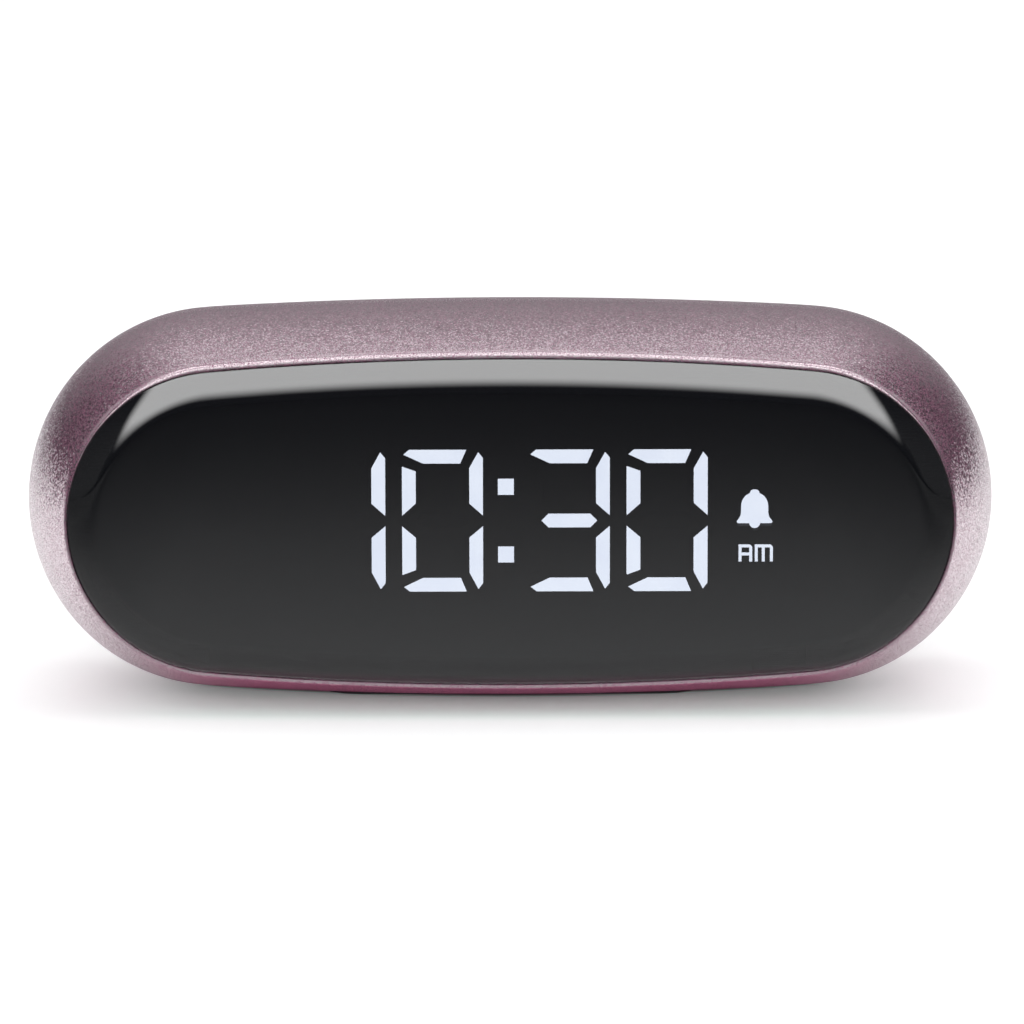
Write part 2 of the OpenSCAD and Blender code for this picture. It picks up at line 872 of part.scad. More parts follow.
module alarm_slider() {
    plate_top_y = cover_inner_y - seam;
    grip_w = 0.5;
    grip_d = 0.3;
    grip_pitch = 1.1;
    color("dimgray") difference() {
        union() {
            block(slider_rest_x, slider_z, slider_plate_l, slider_plate_w, slider_plate_y, plate_top_y);
            block(slider_rest_x, slider_z, slider_l, slider_w, slider_plate_y, key_top_y);
        }
        block(slider_rest_x, slider_z, lever_side + seam, lever_side + seam,
            slider_plate_y - slip, lever_top_y + seam);
        for (i = [-1:1])
            block(slider_rest_x + i * grip_pitch, slider_z, grip_w, slider_w + slip,
                key_top_y - grip_d, key_top_y + slip);
    }
}

module usb_shell() {
    color("silver") difference() {
        translate([usb_x, 0, usb_z]) slab(board_back_y, usb_mouth_y) polygon(stadium(usb_l, usb_w));
        translate([usb_x, 0, usb_z]) slab(board_back_y - slip, usb_mouth_y + slip)
            polygon(stadium(usb_l - 2 * usb_wall, usb_w - 2 * usb_wall));
    }
}

module usb_tongue() {
    base_l = usb_l - 2 * usb_wall - slip;
    base_w = usb_w - 2 * usb_wall - slip;
    color("black") {
        translate([usb_x, 0, usb_z]) slab(board_back_y, usb_base_y) polygon(stadium(base_l, base_w));
        block(usb_x, usb_z, tongue_w, tongue_t, usb_base_y - slip, tongue_y);
    }
}

module speaker_frame() {
    floor_t = 0.8;
    color("dimgray") turned(speaker_x, speaker_z) polygon([
        [magnet_r + slip, speaker_back_y], [speaker_r - speaker_wall, speaker_back_y],
        [speaker_r, speaker_back_y + speaker_wall], [speaker_r, speaker_front_y],
        [speaker_r - speaker_wall, speaker_front_y], [speaker_r - speaker_wall, speaker_back_y + floor_t],
        [magnet_r + slip, speaker_back_y + floor_t]
    ]);
}

module speaker_cone() {
    cone_r = speaker_r - speaker_wall - slip;
    cone_t = 0.25;
    dome_r = magnet_r * 0.5;
    depth = speaker_d * 0.3;
    color("black") turned(speaker_x, speaker_z) polygon([
        [0, speaker_front_y - depth], [dome_r, speaker_front_y - depth],
        [cone_r - 1, speaker_front_y - cone_t - slip], [cone_r, speaker_front_y - cone_t - slip],
        [cone_r, speaker_front_y - slip], [cone_r - 1, speaker_front_y - slip],
        [dome_r, speaker_front_y - depth + cone_t], [0, speaker_front_y - depth + cone_t]
    ]);
}

module speaker_magnet() {
    magnet_t = speaker_d * 0.5;
    color("silver") bar(speaker_x, speaker_z, magnet_r, speaker_back_y, speaker_back_y + magnet_t);
}

module speaker_gasket() {
    color("black") difference() {
        bar(speaker_x, speaker_z, speaker_r, speaker_front_y, cover_inner_y);
        bar(speaker_x, speaker_z, speaker_r - speaker_wall, speaker_front_y - slip, cover_inner_y + slip);
    }
}

module speaker_contacts() {
    r = 0.5;
    spread = speaker_r - 2 * speaker_wall;
    color("gold")
        for (side = [-1, 1])
            bar(speaker_x, speaker_z + side * spread, r, board_back_y, speaker_back_y);
}

module touch_electrode() {
    margin = 1;
    color("peru") skin_patch(top_first + margin, 2 * crown_steps - 2 * margin, electrode_half_l, 6,
        wall_t + seam, wall_t + seam + electrode_t);
}

module touch_contact() {
    leaf_w = 3;
    leaf_t = 0.2;
    foot_z = board_half_h - 3;
    knee_z = board_half_h + 1;
    tip_y = electrode_half_l - 1.6;
    tip_z = skin_b(electrode_half_l) - wall_t - 2 * seam - electrode_t;
    color("gold") translate([-leaf_w / 2, 0, case_z]) rotate([90, 0, 90]) linear_extrude(leaf_w) polygon([
        [board_y, foot_z], [board_y, knee_z], [tip_y, tip_z], [tip_y - leaf_t, tip_z],
        [board_y - leaf_t, knee_z], [board_y - leaf_t, foot_z]
    ]);
}

module rear_cover() {
    rolls = 5;
    rise = cover_face_y - cover_edge_y;
    head_hole_r = 2.2;
    slot_l = slider_l + slider_travel + 2 * key_clearance;
    slot_w = slider_w + 2 * key_clearance;
    collar_r = speaker_r + slip;
    collar_y = cover_inner_y - collar_l;
    function cover_at(t) = at(cover_face_y - rise * pow(1 - t / roll_w, 2), mouth(lens_clear + t));
    color("dimgray") difference() {
        union() {
            difference() {
                loft(concat(
                    [at(cover_seat_y, mouth(lens_clear))],
                    [for (i = [0:rolls]) cover_at(roll_w * i / rolls)]
                ));
                slab(cover_seat_y - slip, cover_inner_y) polygon(mouth(cover_wall));
            }
            difference() {
                bar(speaker_x, speaker_z, collar_r + collar_wall, collar_y, cover_inner_y + slip);
                bar(speaker_x, speaker_z, collar_r, collar_y - slip, cover_inner_y);
            }
        }
        for (x = key_x)
            bar(x, key_z, key_r + key_clearance, cover_inner_y - slip, cover_face_y + slip);
        block(slider_x, slider_z, slot_l, slot_w, cover_inner_y - slip, cover_face_y + slip);
        translate([usb_x, 0, usb_z]) slab(cover_inner_y - slip, cover_face_y + slip)
            polygon(stadium(usb_l + 2 * usb_clear, usb_w + 2 * usb_clear));
        for (x = [-cover_post_x, cover_post_x])
            for (z = [-cover_post_z, cover_post_z]) {
                bar(x, z, cover_screw_r + 2 * slip, cover_inner_y - slip, cover_face_y + slip);
                bar(x, z, head_hole_r, cover_face_y - screw_sunk, cover_face_y + slip);
            }
        bar(speaker_x, speaker_z, sound_r, cover_inner_y - slip, cover_face_y + slip);
        for (ring = [1:sound_rings])
            for (i = [0:6 * ring - 1])
                bar(speaker_x + ring * sound_pitch * cos(60 * i / ring),
                    speaker_z + ring * sound_pitch * sin(60 * i / ring),
                    sound_r, cover_inner_y - slip, cover_face_y + slip);
    }
}

module cover_screws() {
    head_r = 1.9;
    head_h = 1;
    color("silver")
        for (x = [-cover_post_x, cover_post_x])
            for (z = [-cover_post_z, cover_post_z])
                screw(x, z, cover_face_y - screw_sunk, head_r, head_h, cover_screw_r, post_drill);
}

case_shell();
base_pad();
front_lens();
lens_gasket();
display_housing();
lit_segments();
unlit_segments();
bell_window();
period_window();
display_board();
led_chips();
display_screws();
chassis();
battery_cell();
battery_tape();
battery_plug();
battery_leads();
main_board();
controller_chip();
clock_crystal();
board_passives();
board_screws();
display_ribbon();
ribbon_sockets();
tact_switches();
time_plunger();
alarm_plunger();
plus_plunger();
minus_plunger();
time_key();
alarm_key();
plus_key();
minus_key();
slide_switch();
slide_lever();
alarm_slider();
usb_shell();
usb_tongue();
speaker_frame();
speaker_cone();
speaker_magnet();
speaker_gasket();
speaker_contacts();
touch_electrode();
touch_contact();
rear_cover();
cover_screws();
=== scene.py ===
import json
import math

import bpy
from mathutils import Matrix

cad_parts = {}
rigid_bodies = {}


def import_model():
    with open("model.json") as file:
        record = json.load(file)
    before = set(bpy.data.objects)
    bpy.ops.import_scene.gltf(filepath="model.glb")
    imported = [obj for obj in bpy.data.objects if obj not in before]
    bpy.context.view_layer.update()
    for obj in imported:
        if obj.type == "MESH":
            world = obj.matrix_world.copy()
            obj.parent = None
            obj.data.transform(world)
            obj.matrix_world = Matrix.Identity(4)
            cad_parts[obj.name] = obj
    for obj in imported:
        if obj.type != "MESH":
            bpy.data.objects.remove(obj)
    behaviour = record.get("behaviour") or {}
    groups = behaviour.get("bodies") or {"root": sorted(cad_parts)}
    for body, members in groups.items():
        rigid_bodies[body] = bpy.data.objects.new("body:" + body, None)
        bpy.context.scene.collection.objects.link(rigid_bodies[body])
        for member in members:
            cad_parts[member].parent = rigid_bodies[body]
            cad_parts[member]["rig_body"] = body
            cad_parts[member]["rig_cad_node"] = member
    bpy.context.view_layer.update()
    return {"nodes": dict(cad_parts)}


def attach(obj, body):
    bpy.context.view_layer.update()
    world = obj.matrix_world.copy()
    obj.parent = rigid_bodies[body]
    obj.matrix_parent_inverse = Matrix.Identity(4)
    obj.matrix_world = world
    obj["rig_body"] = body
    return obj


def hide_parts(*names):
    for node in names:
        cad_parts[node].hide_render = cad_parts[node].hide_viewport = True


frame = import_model()
node = frame["nodes"]
bpy.context.scene.view_settings.view_transform = "Standard"

# Camera: a long lens a little above the clock, square on to the display. The
# middle section of the case falls a little above the middle of the picture.
CASE_MID_Z = 0.0203
CAMERA_DISTANCE = 0.700
CAMERA_TILT = math.radians(10.2)
CAMERA_ROLL = math.radians(0.14)
CAMERA_SENSOR = 36
CAMERA_LENS = 237.0
CAMERA_SHIFT = (0.0046, -0.0180)
CAMERA_NEAR = 0.01
camera_y = -CAMERA_DISTANCE * math.cos(CAMERA_TILT)
camera_z = CASE_MID_Z + CAMERA_DISTANCE * math.sin(CAMERA_TILT)
bpy.ops.object.camera_add(
    location=(0, camera_y, camera_z),
    rotation=(math.radians(90) - CAMERA_TILT, CAMERA_ROLL, 0),
)
camera = bpy.context.object
camera.name = "camera"
camera.data.sensor_width = CAMERA_SENSOR
camera.data.lens = CAMERA_LENS
camera.data.shift_x, camera.data.shift_y = CAMERA_SHIFT
camera.data.clip_start = CAMERA_NEAR
bpy.context.scene.camera = camera


# Table: a white table top. Where the clock mirrors it, it darkens in painted shade towards the front edge
# and the sides, and under the belly it carries a painted pink reflection of the case and painted shade.
# Where they meet it is dark with a painted contact shadow, and round that a cyan tint is painted against
# the pink light that the case bounces onto it.
def put(tree, kind, settings=None, **links):
    """A shader node with some sockets set and others linked."""
    made = tree.nodes.new("ShaderNode" + kind)
    for name, value in (settings or {}).items():
        if name in made.inputs:
            made.inputs[name].default_value = value
        else:
            setattr(made, name, value)
    for name, source in links.items():
        tree.links.new(source, made.inputs[name.replace("_", " ")])
    return made


def calc(tree, operation, *values):
    """The result of one step of arithmetic on numbers and linked values."""
    made = put(tree, "Math", {"operation": operation})
    for socket, value in zip(made.inputs, values):
        if isinstance(value, (int, float)):
            socket.default_value = value
        else:
            tree.links.new(value, socket)
    return made.outputs["Value"]


def fade(tree, value, start, stop, low, high):
    """A level that goes smoothly from low to high between two places."""
    made = put(tree, "MapRange", {"From Min": start, "From Max": stop, "To Min": low, "To Max": high,
                                  "interpolation_type": "SMOOTHSTEP"}, Value=value)
    return made.outputs["Result"]


def mix(tree, share, first, second):
    """A colour between two, each of them set or linked."""
    made = put(tree, "MixRGB", Fac=share)
    for name, colour in (("Color1", first), ("Color2", second)):
        if isinstance(colour, tuple):
            made.inputs[name].default_value = colour
        else:
            tree.links.new(colour, made.inputs[name])
    return made.outputs["Color"]


def empty_material(name):
    """A material with an empty node tree and its output node."""
    material = bpy.data.materials.new(name)
    material.use_nodes = True
    tree = material.node_tree
    tree.nodes.clear()
    return material, tree, put(tree, "OutputMaterial")


def show_both(tree, output, first, second):
    """Links the sum of two shaders to the output of a material."""
    both = put(tree, "AddShader")
    tree.links.new(first, both.inputs[0])
    tree.links.new(second, both.inputs[1])
    tree.links.new(both.outputs["Shader"], output.inputs["Surface"])


FLOOR_SIZE = 6.0
TABLE_WHITE = 1.0
# Painted shade: the table that mirrors and bounces see dims towards the front and the sides.
PAINTED_FRONT_LEVEL = 0.45
FRONT_FADE = 0.095
FRONT_Y = -0.024
BACK_Y = -0.002
SIDE_X = 0.04
SIDE_FADE = 0.06
# Under the belly: a painted pink reflection for mirrors, deeper towards the contact, and painted shade for
# bounced light.
PAINTED_PINK_REFLECTION = (0.73, 0.31, 0.47, 1)
PAINTED_DEEP_REFLECTION = (0.20, 0.085, 0.13, 1)
PAINTED_UNDER_SHADE = (0.30, 0.29, 0.295, 1)
DEEP_Y = 0.003
EDGE_Y = 0.008
UNDER_X = 0.046
UNDER_SIDE_SOFT = 0.022
UNDER_Y = 0.0195
UNDER_SOFT = 0.006
BLACK = (0, 0, 0, 1)
# A faint painted grey glow that mirrors see where the table has dimmed away.
PAINTED_FAR_GLOW = (0.016, 0.016, 0.018, 1)
SEEN_WHITE = (1.13, 1.13, 1.13, 1)
SEEN_GLOW = (0.125, 0.125, 0.125, 1)
# A cyan tint painted on the table under the clock against the pink light the case bounces onto it.
PAINTED_BOUNCE_CANCEL = (1.07, 1.33, 1.225, 1)
# A painted contact shadow where the belly meets the table, with less of the table's glow there.
PAINTED_CONTACT_SHADOW = (0.16, 0.12, 0.135, 1)
CONTACT_SHADOW_GLOW = (0.006, 0.003, 0.004, 1)
CONTACT_SHADOW_Y = 0.0045
CONTACT_SHADOW_SOFT = 0.0024
CONTACT_SHADOW_BOW = 5.8
bpy.ops.mesh.primitive_plane_add(size=FLOOR_SIZE)
floor = bpy.context.object
floor.name = "floor"
material, tree, output = empty_material("white_table")
place = put(tree, "TexCoord")
split = put(tree, "SeparateXYZ", Vector=place.outputs["Object"])
aside = calc(tree, "ABSOLUTE", split.outputs["X"])
inwards = calc(tree, "ABSOLUTE", split.outputs["Y"])
path = put(tree, "LightPath")
by_camera, by_mirror = path.outputs["Is Camera Ray"], path.outputs["Is Glossy Ray"]

# Painted shade for rays from the clock: the table dims towards the front edge and the sides.
forwards = calc(tree, "MULTIPLY_ADD", split.outputs["Y"], 1 / FRONT_FADE, -FRONT_Y / FRONT_FADE)
near = calc(tree, "MINIMUM", forwards, 0)
outwards = calc(tree, "MULTIPLY_ADD", aside, -1 / SIDE_FADE, SIDE_X / SIDE_FADE)
beside = calc(tree, "MINIMUM", outwards, 0)
ahead = fade(tree, split.outputs["Y"], FRONT_Y, BACK_Y, 1, 0)
painted_falloff = calc(tree, "EXPONENT", calc(tree, "MULTIPLY_ADD", beside, ahead, near))
level = calc(tree, "MULTIPLY_ADD", ahead, PAINTED_FRONT_LEVEL - TABLE_WHITE, TABLE_WHITE)
white = calc(tree, "MULTIPLY", painted_falloff, level)
grey = put(tree, "CombineColor", Red=white, Green=white, Blue=white)

# Under the belly, mirrors see a painted pink reflection and bounces see painted shade.
under_depth = fade(tree, inwards, UNDER_Y - UNDER_SOFT, UNDER_Y, 1, 0)
under_side = fade(tree, aside, UNDER_X - UNDER_SIDE_SOFT, UNDER_X, 1, 0)
under = calc(tree, "MULTIPLY", under_depth, under_side)
painted_reflection = mix(tree, fade(tree, inwards, DEEP_Y, EDGE_Y, 1, 0), PAINTED_PINK_REFLECTION, PAINTED_DEEP_REFLECTION)
mirrored = mix(tree, under, grey.outputs["Color"], mix(tree, by_mirror, PAINTED_UNDER_SHADE, painted_reflection))

# A painted contact shadow in an oval where the belly meets the table, and the cyan tint painted round it.
contact_reach = calc(tree, "MULTIPLY_ADD", calc(tree, "MULTIPLY", aside, aside), CONTACT_SHADOW_BOW, inwards)
contact_shadow = fade(tree, contact_reach, CONTACT_SHADOW_Y, CONTACT_SHADOW_Y + CONTACT_SHADOW_SOFT, 1, 0)
seen_with_contact_shadow = mix(tree, contact_shadow, mix(tree, under, SEEN_WHITE, PAINTED_BOUNCE_CANCEL), PAINTED_CONTACT_SHADOW)
matt = put(tree, "BsdfDiffuse", Color=mix(tree, by_camera, mirrored, seen_with_contact_shadow))
# Far off, mirrors see a faint painted grey glow in place of the dimmed table.
far = calc(tree, "MULTIPLY", calc(tree, "SUBTRACT", 1, painted_falloff), by_mirror)
dim = mix(tree, far, BLACK, PAINTED_FAR_GLOW)
glow = put(tree, "Emission", Color=mix(tree, by_camera, dim, mix(tree, contact_shadow, SEEN_GLOW, CONTACT_SHADOW_GLOW)))
show_both(tree, output, matt.outputs["BSDF"], glow.outputs["Emission"])
floor.data.materials.append(material)


# Studio: a soft box high in front, a pale wall and a ceiling light behind, and dim
# surroundings. Smaller cards, shaded from the rest, show in the lens or the sleeve alone.
def aim(thing, centre, target):
    """Places a card or a lamp so that it faces the target."""
    facing = [t - c for t, c in zip(target, centre)]
    yaw = math.atan2(-facing[0], facing[1])
    pitch = math.atan2(facing[2], math.hypot(facing[0], facing[1]))
    thing.location = centre
    thing.rotation_euler = (math.radians(90) + pitch, 0, yaw)


def light_card(name, centre, target, size, level, side, foot, sag=0, lift=0, shows_in=None):
    """A glowing sheet that only polished surfaces show. It fades out over side at its left and right, and
    goes from the first level to the second one upwards. That change is its foot: a height and a width. The
    foot hangs down towards the sides, by sag, and turns up at the corners, by lift."""
    bpy.ops.object.select_all(action="DESELECT")
    bpy.ops.mesh.primitive_plane_add(size=1)
    card = bpy.context.object
    card.name = name
    card.scale = (*size, 1)
    bpy.ops.object.transform_apply(scale=True)
    aim(card, centre, target)
    card.visible_camera = card.visible_diffuse = card.visible_shadow = card.visible_transmission = False
    material, tree, output = empty_material(name)
    place = put(tree, "TexCoord")
    split = put(tree, "SeparateXYZ", Vector=place.outputs["Object"])
    x, y = split.outputs["X"], split.outputs["Y"]
    across = fade(tree, calc(tree, "ABSOLUTE", x), size[0] / 2 - side, size[0] / 2, 1, 0)
    square = calc(tree, "MULTIPLY", x, x)
    hang = calc(tree, "MULTIPLY_ADD", square, calc(tree, "MULTIPLY_ADD", square, -lift, sag), y)
    foot_y, soft = foot
    upwards = fade(tree, hang, foot_y - soft / 2, foot_y + soft / 2, *level)
    glow = put(tree, "Emission", Strength=calc(tree, "MULTIPLY", upwards, across))
    clear = put(tree, "BsdfTransparent")
    show_both(tree, output, clear.outputs["BSDF"], glow.outputs["Emission"])
    card.data.materials.append(material)
    if shows_in:
        card.light_linking.receiver_collection = shows_in


lens_only = bpy.data.collections.new("lens_only")
sleeve_only = bpy.data.collections.new("sleeve_only")
CLOCK = (0, 0, 0.02)
SOFTBOX_TO = (-0.015, 0, 0)
SOFTBOX = {"size": (0.81, 1.10), "side": 0.10, "foot": (-0.229, 0.26), "sag": 4.0, "lift": 31.0}
light_card("front_softbox", (-0.015, -0.39, 0.39), SOFTBOX_TO, level=(0.0, 0.85), **SOFTBOX)
light_card("lens_softbox", (-0.015, -0.385, 0.385), SOFTBOX_TO, level=(0.0, 2.30), shows_in=lens_only,
           **SOFTBOX)
light_card("rim_card", (0, -0.60, 0.16), CLOCK, size=(1.0, 0.30), level=(0.70, 0.80), side=0.30,
           foot=(0.0, 0.20), shows_in=sleeve_only)
for name, side in (("left", -1), ("right", 1)):
    light_card(name + "_wall", (side * 0.55, -0.25, 0.25), CLOCK, size=(1.2, 0.9), level=(0.075, 0.0),
               side=0.16, foot=(0.0, 0.60), shows_in=lens_only)
    light_card(name + "_sheet", (side * 0.36, -0.23, 0.0006), (side * 0.36, -0.23, 1), size=(0.56, 0.50),
               level=(0.08, 0.0), side=0.08, foot=(0.19, 0.12), shows_in=lens_only)
    light_card(name + "_panel", (side * 0.70, -0.08, 0.55), CLOCK, size=(0.90, 0.80), level=(0.10, 0.36),
               side=0.25, foot=(-0.15, 0.50), shows_in=sleeve_only)
light_card("rear_wall", (0, 0.75, 0.60), (0, 0, 0.60), size=(1.50, 1.20), level=(0.18, 0.40), side=0.50,
           foot=(-0.09, 1.02))
light_card("overhead", (0, -0.12, 0.86), (0, -0.12, 0), size=(1.10, 0.40), level=(0.75, 0.75), side=0.30,
           foot=(0.0, 0.20), shows_in=sleeve_only)
light_card("ceiling_light", (0, 0.36, 0.85), (0, 0.36, 0), size=(1.50, 0.72), level=(0.28, 0.58), side=0.50,
           foot=(0.0, 0.50))


def lamp(name, centre, target, size, power):
    """A broad lamp that lights matt surfaces and casts the shadow."""
    bpy.ops.object.light_add(type="AREA")
    light = bpy.context.object
    light.name = name
    light.data.shape = "SQUARE"
    light.data.size = size
    light.data.energy = power
    aim(light, centre, target)
    light.visible_glossy = False


CLOCK_FOOT = (0, 0, 0.01)
lamp("top_lamp", (0, 0.05, 0.90), (0, 0, 0), size=1.2, power=5.5)
lamp("front_lamp", (0, -0.70, 0.36), CLOCK_FOOT, size=0.7, power=3.0)
lamp("low_fill", (0, -0.70, 0.12), CLOCK_FOOT, size=0.4, power=2.4)
lamp("left_lamp", (-0.80, 0.05, 0.45), CLOCK, size=0.8, power=2.2)
lamp("right_lamp", (0.80, 0.05, 0.45), CLOCK, size=0.8, power=2.2)
lamp("rear_lamp", (0.1, 0.75, 0.45), CLOCK, size=0.6, power=1.5)

DIM_ROOM = (0.024, 0.024, 0.028, 1)
world = bpy.data.worlds.new("dim_room")
bpy.context.scene.world = world
world.use_nodes = True
world.node_tree.nodes["Background"].inputs["Color"].default_value = DIM_ROOM


# Case: one seamless aluminium sleeve, drawn to a barrel shape and sprayed with a
# mauve metallic lacquer: pale flakes in a deep tint. Both rims are rolled over.
def copy_of(cad_name, name):
    """A copy of a CAD node with its loose triangles merged into one skin."""
    bpy.ops.object.select_all(action="DESELECT")
    piece = node[cad_name].copy()
    piece.data = node[cad_name].data.copy()
    piece.name = name
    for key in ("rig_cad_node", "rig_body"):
        del piece[key]
    piece.parent = None
    bpy.context.scene.collection.objects.link(piece)
    piece.data.materials.clear()
    piece.select_set(True)
    bpy.context.view_layer.objects.active = piece
    bpy.ops.object.mode_set(mode="EDIT")
    bpy.ops.mesh.select_all(action="SELECT")
    bpy.ops.mesh.customdata_custom_splitnormals_clear()
    bpy.ops.mesh.remove_doubles(threshold=1e-6)
    bpy.ops.mesh.tris_convert_to_quads(face_threshold=math.radians(70), shape_threshold=math.radians(70))
    bpy.ops.object.mode_set(mode="OBJECT")
    return piece


MOUTH_HALF_WIDTH = 0.04505
MOUTH_HALF_HEIGHT = 0.0168
MOUTH_END_R = 0.01555


def mouth_outline(inset, ends=32, crown=24):
    """Points of the sleeve's mouth, moved inwards: round ends joined by slightly arched sides."""
    a, b, r = MOUTH_HALF_WIDTH - inset, MOUTH_HALF_HEIGHT - inset, MOUTH_END_R - inset
    end_x = a - r
    big = (end_x ** 2 + b * b - r * r) / (2 * (b - r))
    join = math.atan2(big - b, end_x)
    quarter = []
    for i in range(ends):
        turn = join * i / ends
        quarter.append((end_x + r * math.cos(turn), r * math.sin(turn)))
    for i in range(crown):
        turn = join + (math.pi / 2 - join) * i / crown
        quarter.append((big * math.cos(turn), b - big + big * math.sin(turn)))
    top = quarter + [(0, b)] + [(-x, z) for x, z in reversed(quarter)]
    return top[:-1] + [(-x, -z) for x, z in top[:-1]]


# The skin is drawn in towards the rim by DROP. Each ring of the lip, known by its distance from
# the mouth, goes to a new distance and depth, which differ between the top, the sides and the bottom.
RIM_HOLD_Y = 0.0156
RIM_TURN_Y = 0.0107
RIM_Y = 0.0165
RIM_EDGE_Y = 0.01638
DROP = {"top": 0.00025, "side": 0.00070, "bottom": 0.00048}
LIP = [
    {"from": 0.00060, "top": (0.00063, 0.01642), "side": (0.00030, 0.01632), "bottom": (0.00048, 0.01640)},
    {"from": 0.00030, "top": (0.00037, 0.01650), "side": (0.00014, 0.01646), "bottom": (0.00033, 0.01650)},
    {"from": 0.00010, "top": (0.00014, 0.01650), "side": (0.00005, 0.01648), "bottom": (0.00011, 0.01650)},
]
AT_MOUTH = 0.0001
OUTER_SKIN = 0.0005
CREASE = 0.9
sleeve = copy_of("case_shell", "case_sleeve")
bpy.ops.object.mode_set(mode="EDIT")
for y in (-RIM_HOLD_Y, RIM_HOLD_Y):
    bpy.ops.mesh.select_all(action="SELECT")
    bpy.ops.mesh.bisect(plane_co=(0, y, 0), plane_no=(0, 1, 0))
bpy.ops.object.mode_set(mode="OBJECT")
mouth = mouth_outline(0, ends=200, crown=320)
for corner in sleeve.data.vertices:
    x, y, z = corner.co.x, corner.co.y, corner.co.z - CASE_MID_Z
    if abs(y) < RIM_TURN_Y:
        continue
    near_x, near_z = min(mouth, key=lambda point: math.hypot(point[0] - x, point[1] - z))
    off = math.hypot(x - near_x, z - near_z)
    if off < AT_MOUTH or math.hypot(x, z) < math.hypot(near_x, near_z):
        continue
    upright = (z - near_z) / off
    end = "top" if upright > 0 else "bottom"
    share = upright ** 4
    if abs(y) > RIM_EDGE_Y - 1e-5:
        ring = next(ring for ring in LIP if off > ring["from"])
        new_off, new_y = [e * share + s * (1 - share) for e, s in zip(ring[end], ring["side"])]
        corner.co.y = math.copysign(new_y, y)
    elif off > OUTER_SKIN:
        drop = DROP[end] * share + DROP["side"] * (1 - share)
        new_off = off - drop * ((abs(y) - RIM_TURN_Y) / (RIM_Y - RIM_TURN_Y)) ** 2
    else:
        continue
    corner.co.x = near_x + new_off * (x - near_x) / off
    corner.co.z = CASE_MID_Z + near_z + new_off * (z - near_z) / off
bpy.ops.object.mode_set(mode="EDIT")
bpy.ops.mesh.select_mode(type="EDGE")
bpy.ops.mesh.select_all(action="DESELECT")
bpy.ops.mesh.edges_select_sharp(sharpness=math.radians(42))
bpy.ops.transform.edge_crease(value=CREASE)
bpy.ops.object.mode_set(mode="OBJECT")
smooth = sleeve.modifiers.new("smooth_skin", "SUBSURF")
smooth.levels = smooth.render_levels = 2
bpy.ops.object.modifier_apply(modifier=smooth.name)
bpy.ops.object.shade_smooth_by_angle(angle=math.radians(40))


def new_material(name, settings):
    """A material with one Principled shader, with some of its sockets set."""
    material, tree, output = empty_material(name)
    shader = put(tree, "BsdfPrincipled", settings)
    tree.links.new(shader.outputs["BSDF"], output.inputs["Surface"])
    return material, tree, shader


FLAKE_SIZE = 0.00014
FLAKE_SLOPE = 0.39
RIM_SLOPE = 0.05
PIGMENT_SIZE = 0.00005
LACQUER_SHARE = 0.32
MID_FROM = 0.5
BRIGHT_FROM = 0.85
SHARP_STEP = 0.001
LACQUER = (0.31, 0.108, 0.19, 1)
DULL_FLAKE = (0.84, 0.715, 0.77, 1)
MID_FLAKE = (0.95, 0.835, 0.885, 1)
BRIGHT_FLAKE = (1.0, 0.91, 0.95, 1)
MIDDLE = (0.5, 0.5, 0.5)
material, tree, shader = new_material("mauve_metallic", {"Roughness": 0.24, "Coat Weight": 0.3,
                                                         "Coat Roughness": 0.3})
place = put(tree, "TexCoord")
flakes = put(tree, "TexVoronoi", {"Scale": 1 / FLAKE_SIZE}, Vector=place.outputs["Object"])
pigment = put(tree, "TexVoronoi", {"Scale": 1 / PIGMENT_SIZE}, Vector=place.outputs["Object"])
chance = put(tree, "TexWhiteNoise", Vector=pigment.outputs["Position"])
tones = put(tree, "ValToRGB", Fac=chance.outputs["Value"])
tones.color_ramp.interpolation = "CONSTANT"
tones.color_ramp.elements[0].color = LACQUER
tones.color_ramp.elements[1].position = BRIGHT_FROM
tones.color_ramp.elements[1].color = BRIGHT_FLAKE
tones.color_ramp.elements.new(LACQUER_SHARE).color = DULL_FLAKE
tones.color_ramp.elements.new(MID_FROM).color = MID_FLAKE
tree.links.new(tones.outputs["Color"], shader.inputs["Base Color"])
metal = put(tree, "MapRange", {"From Min": LACQUER_SHARE - SHARP_STEP,
                               "From Max": LACQUER_SHARE + SHARP_STEP}, Value=chance.outputs["Value"])
tree.links.new(metal.outputs["Result"], shader.inputs["Metallic"])
lean = put(tree, "VectorMath", {"operation": "SUBTRACT"})
tree.links.new(flakes.outputs["Color"], lean.inputs[0])
lean.inputs[1].default_value = MIDDLE
depth = put(tree, "SeparateXYZ", Vector=place.outputs["Object"])
to_rim = calc(tree, "ABSOLUTE", depth.outputs["Y"])
slope = fade(tree, to_rim, RIM_HOLD_Y, RIM_EDGE_Y, FLAKE_SLOPE, RIM_SLOPE)
soft_lean = put(tree, "VectorMath", {"operation": "SCALE"}, Scale=slope)
tree.links.new(lean.outputs["Vector"], soft_lean.inputs[0])
skin = put(tree, "NewGeometry")
tilted = put(tree, "VectorMath", {"operation": "ADD"})
tree.links.new(skin.outputs["Normal"], tilted.inputs[0])
tree.links.new(soft_lean.outputs["Vector"], tilted.inputs[1])
unit = put(tree, "VectorMath", {"operation": "NORMALIZE"})
tree.links.new(tilted.outputs["Vector"], unit.inputs[0])
tree.links.new(unit.outputs["Vector"], shader.inputs["Normal"])
sleeve.data.materials.append(material)
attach(sleeve, "clock_body")
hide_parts("case_shell")
sleeve_only.objects.link(sleeve)


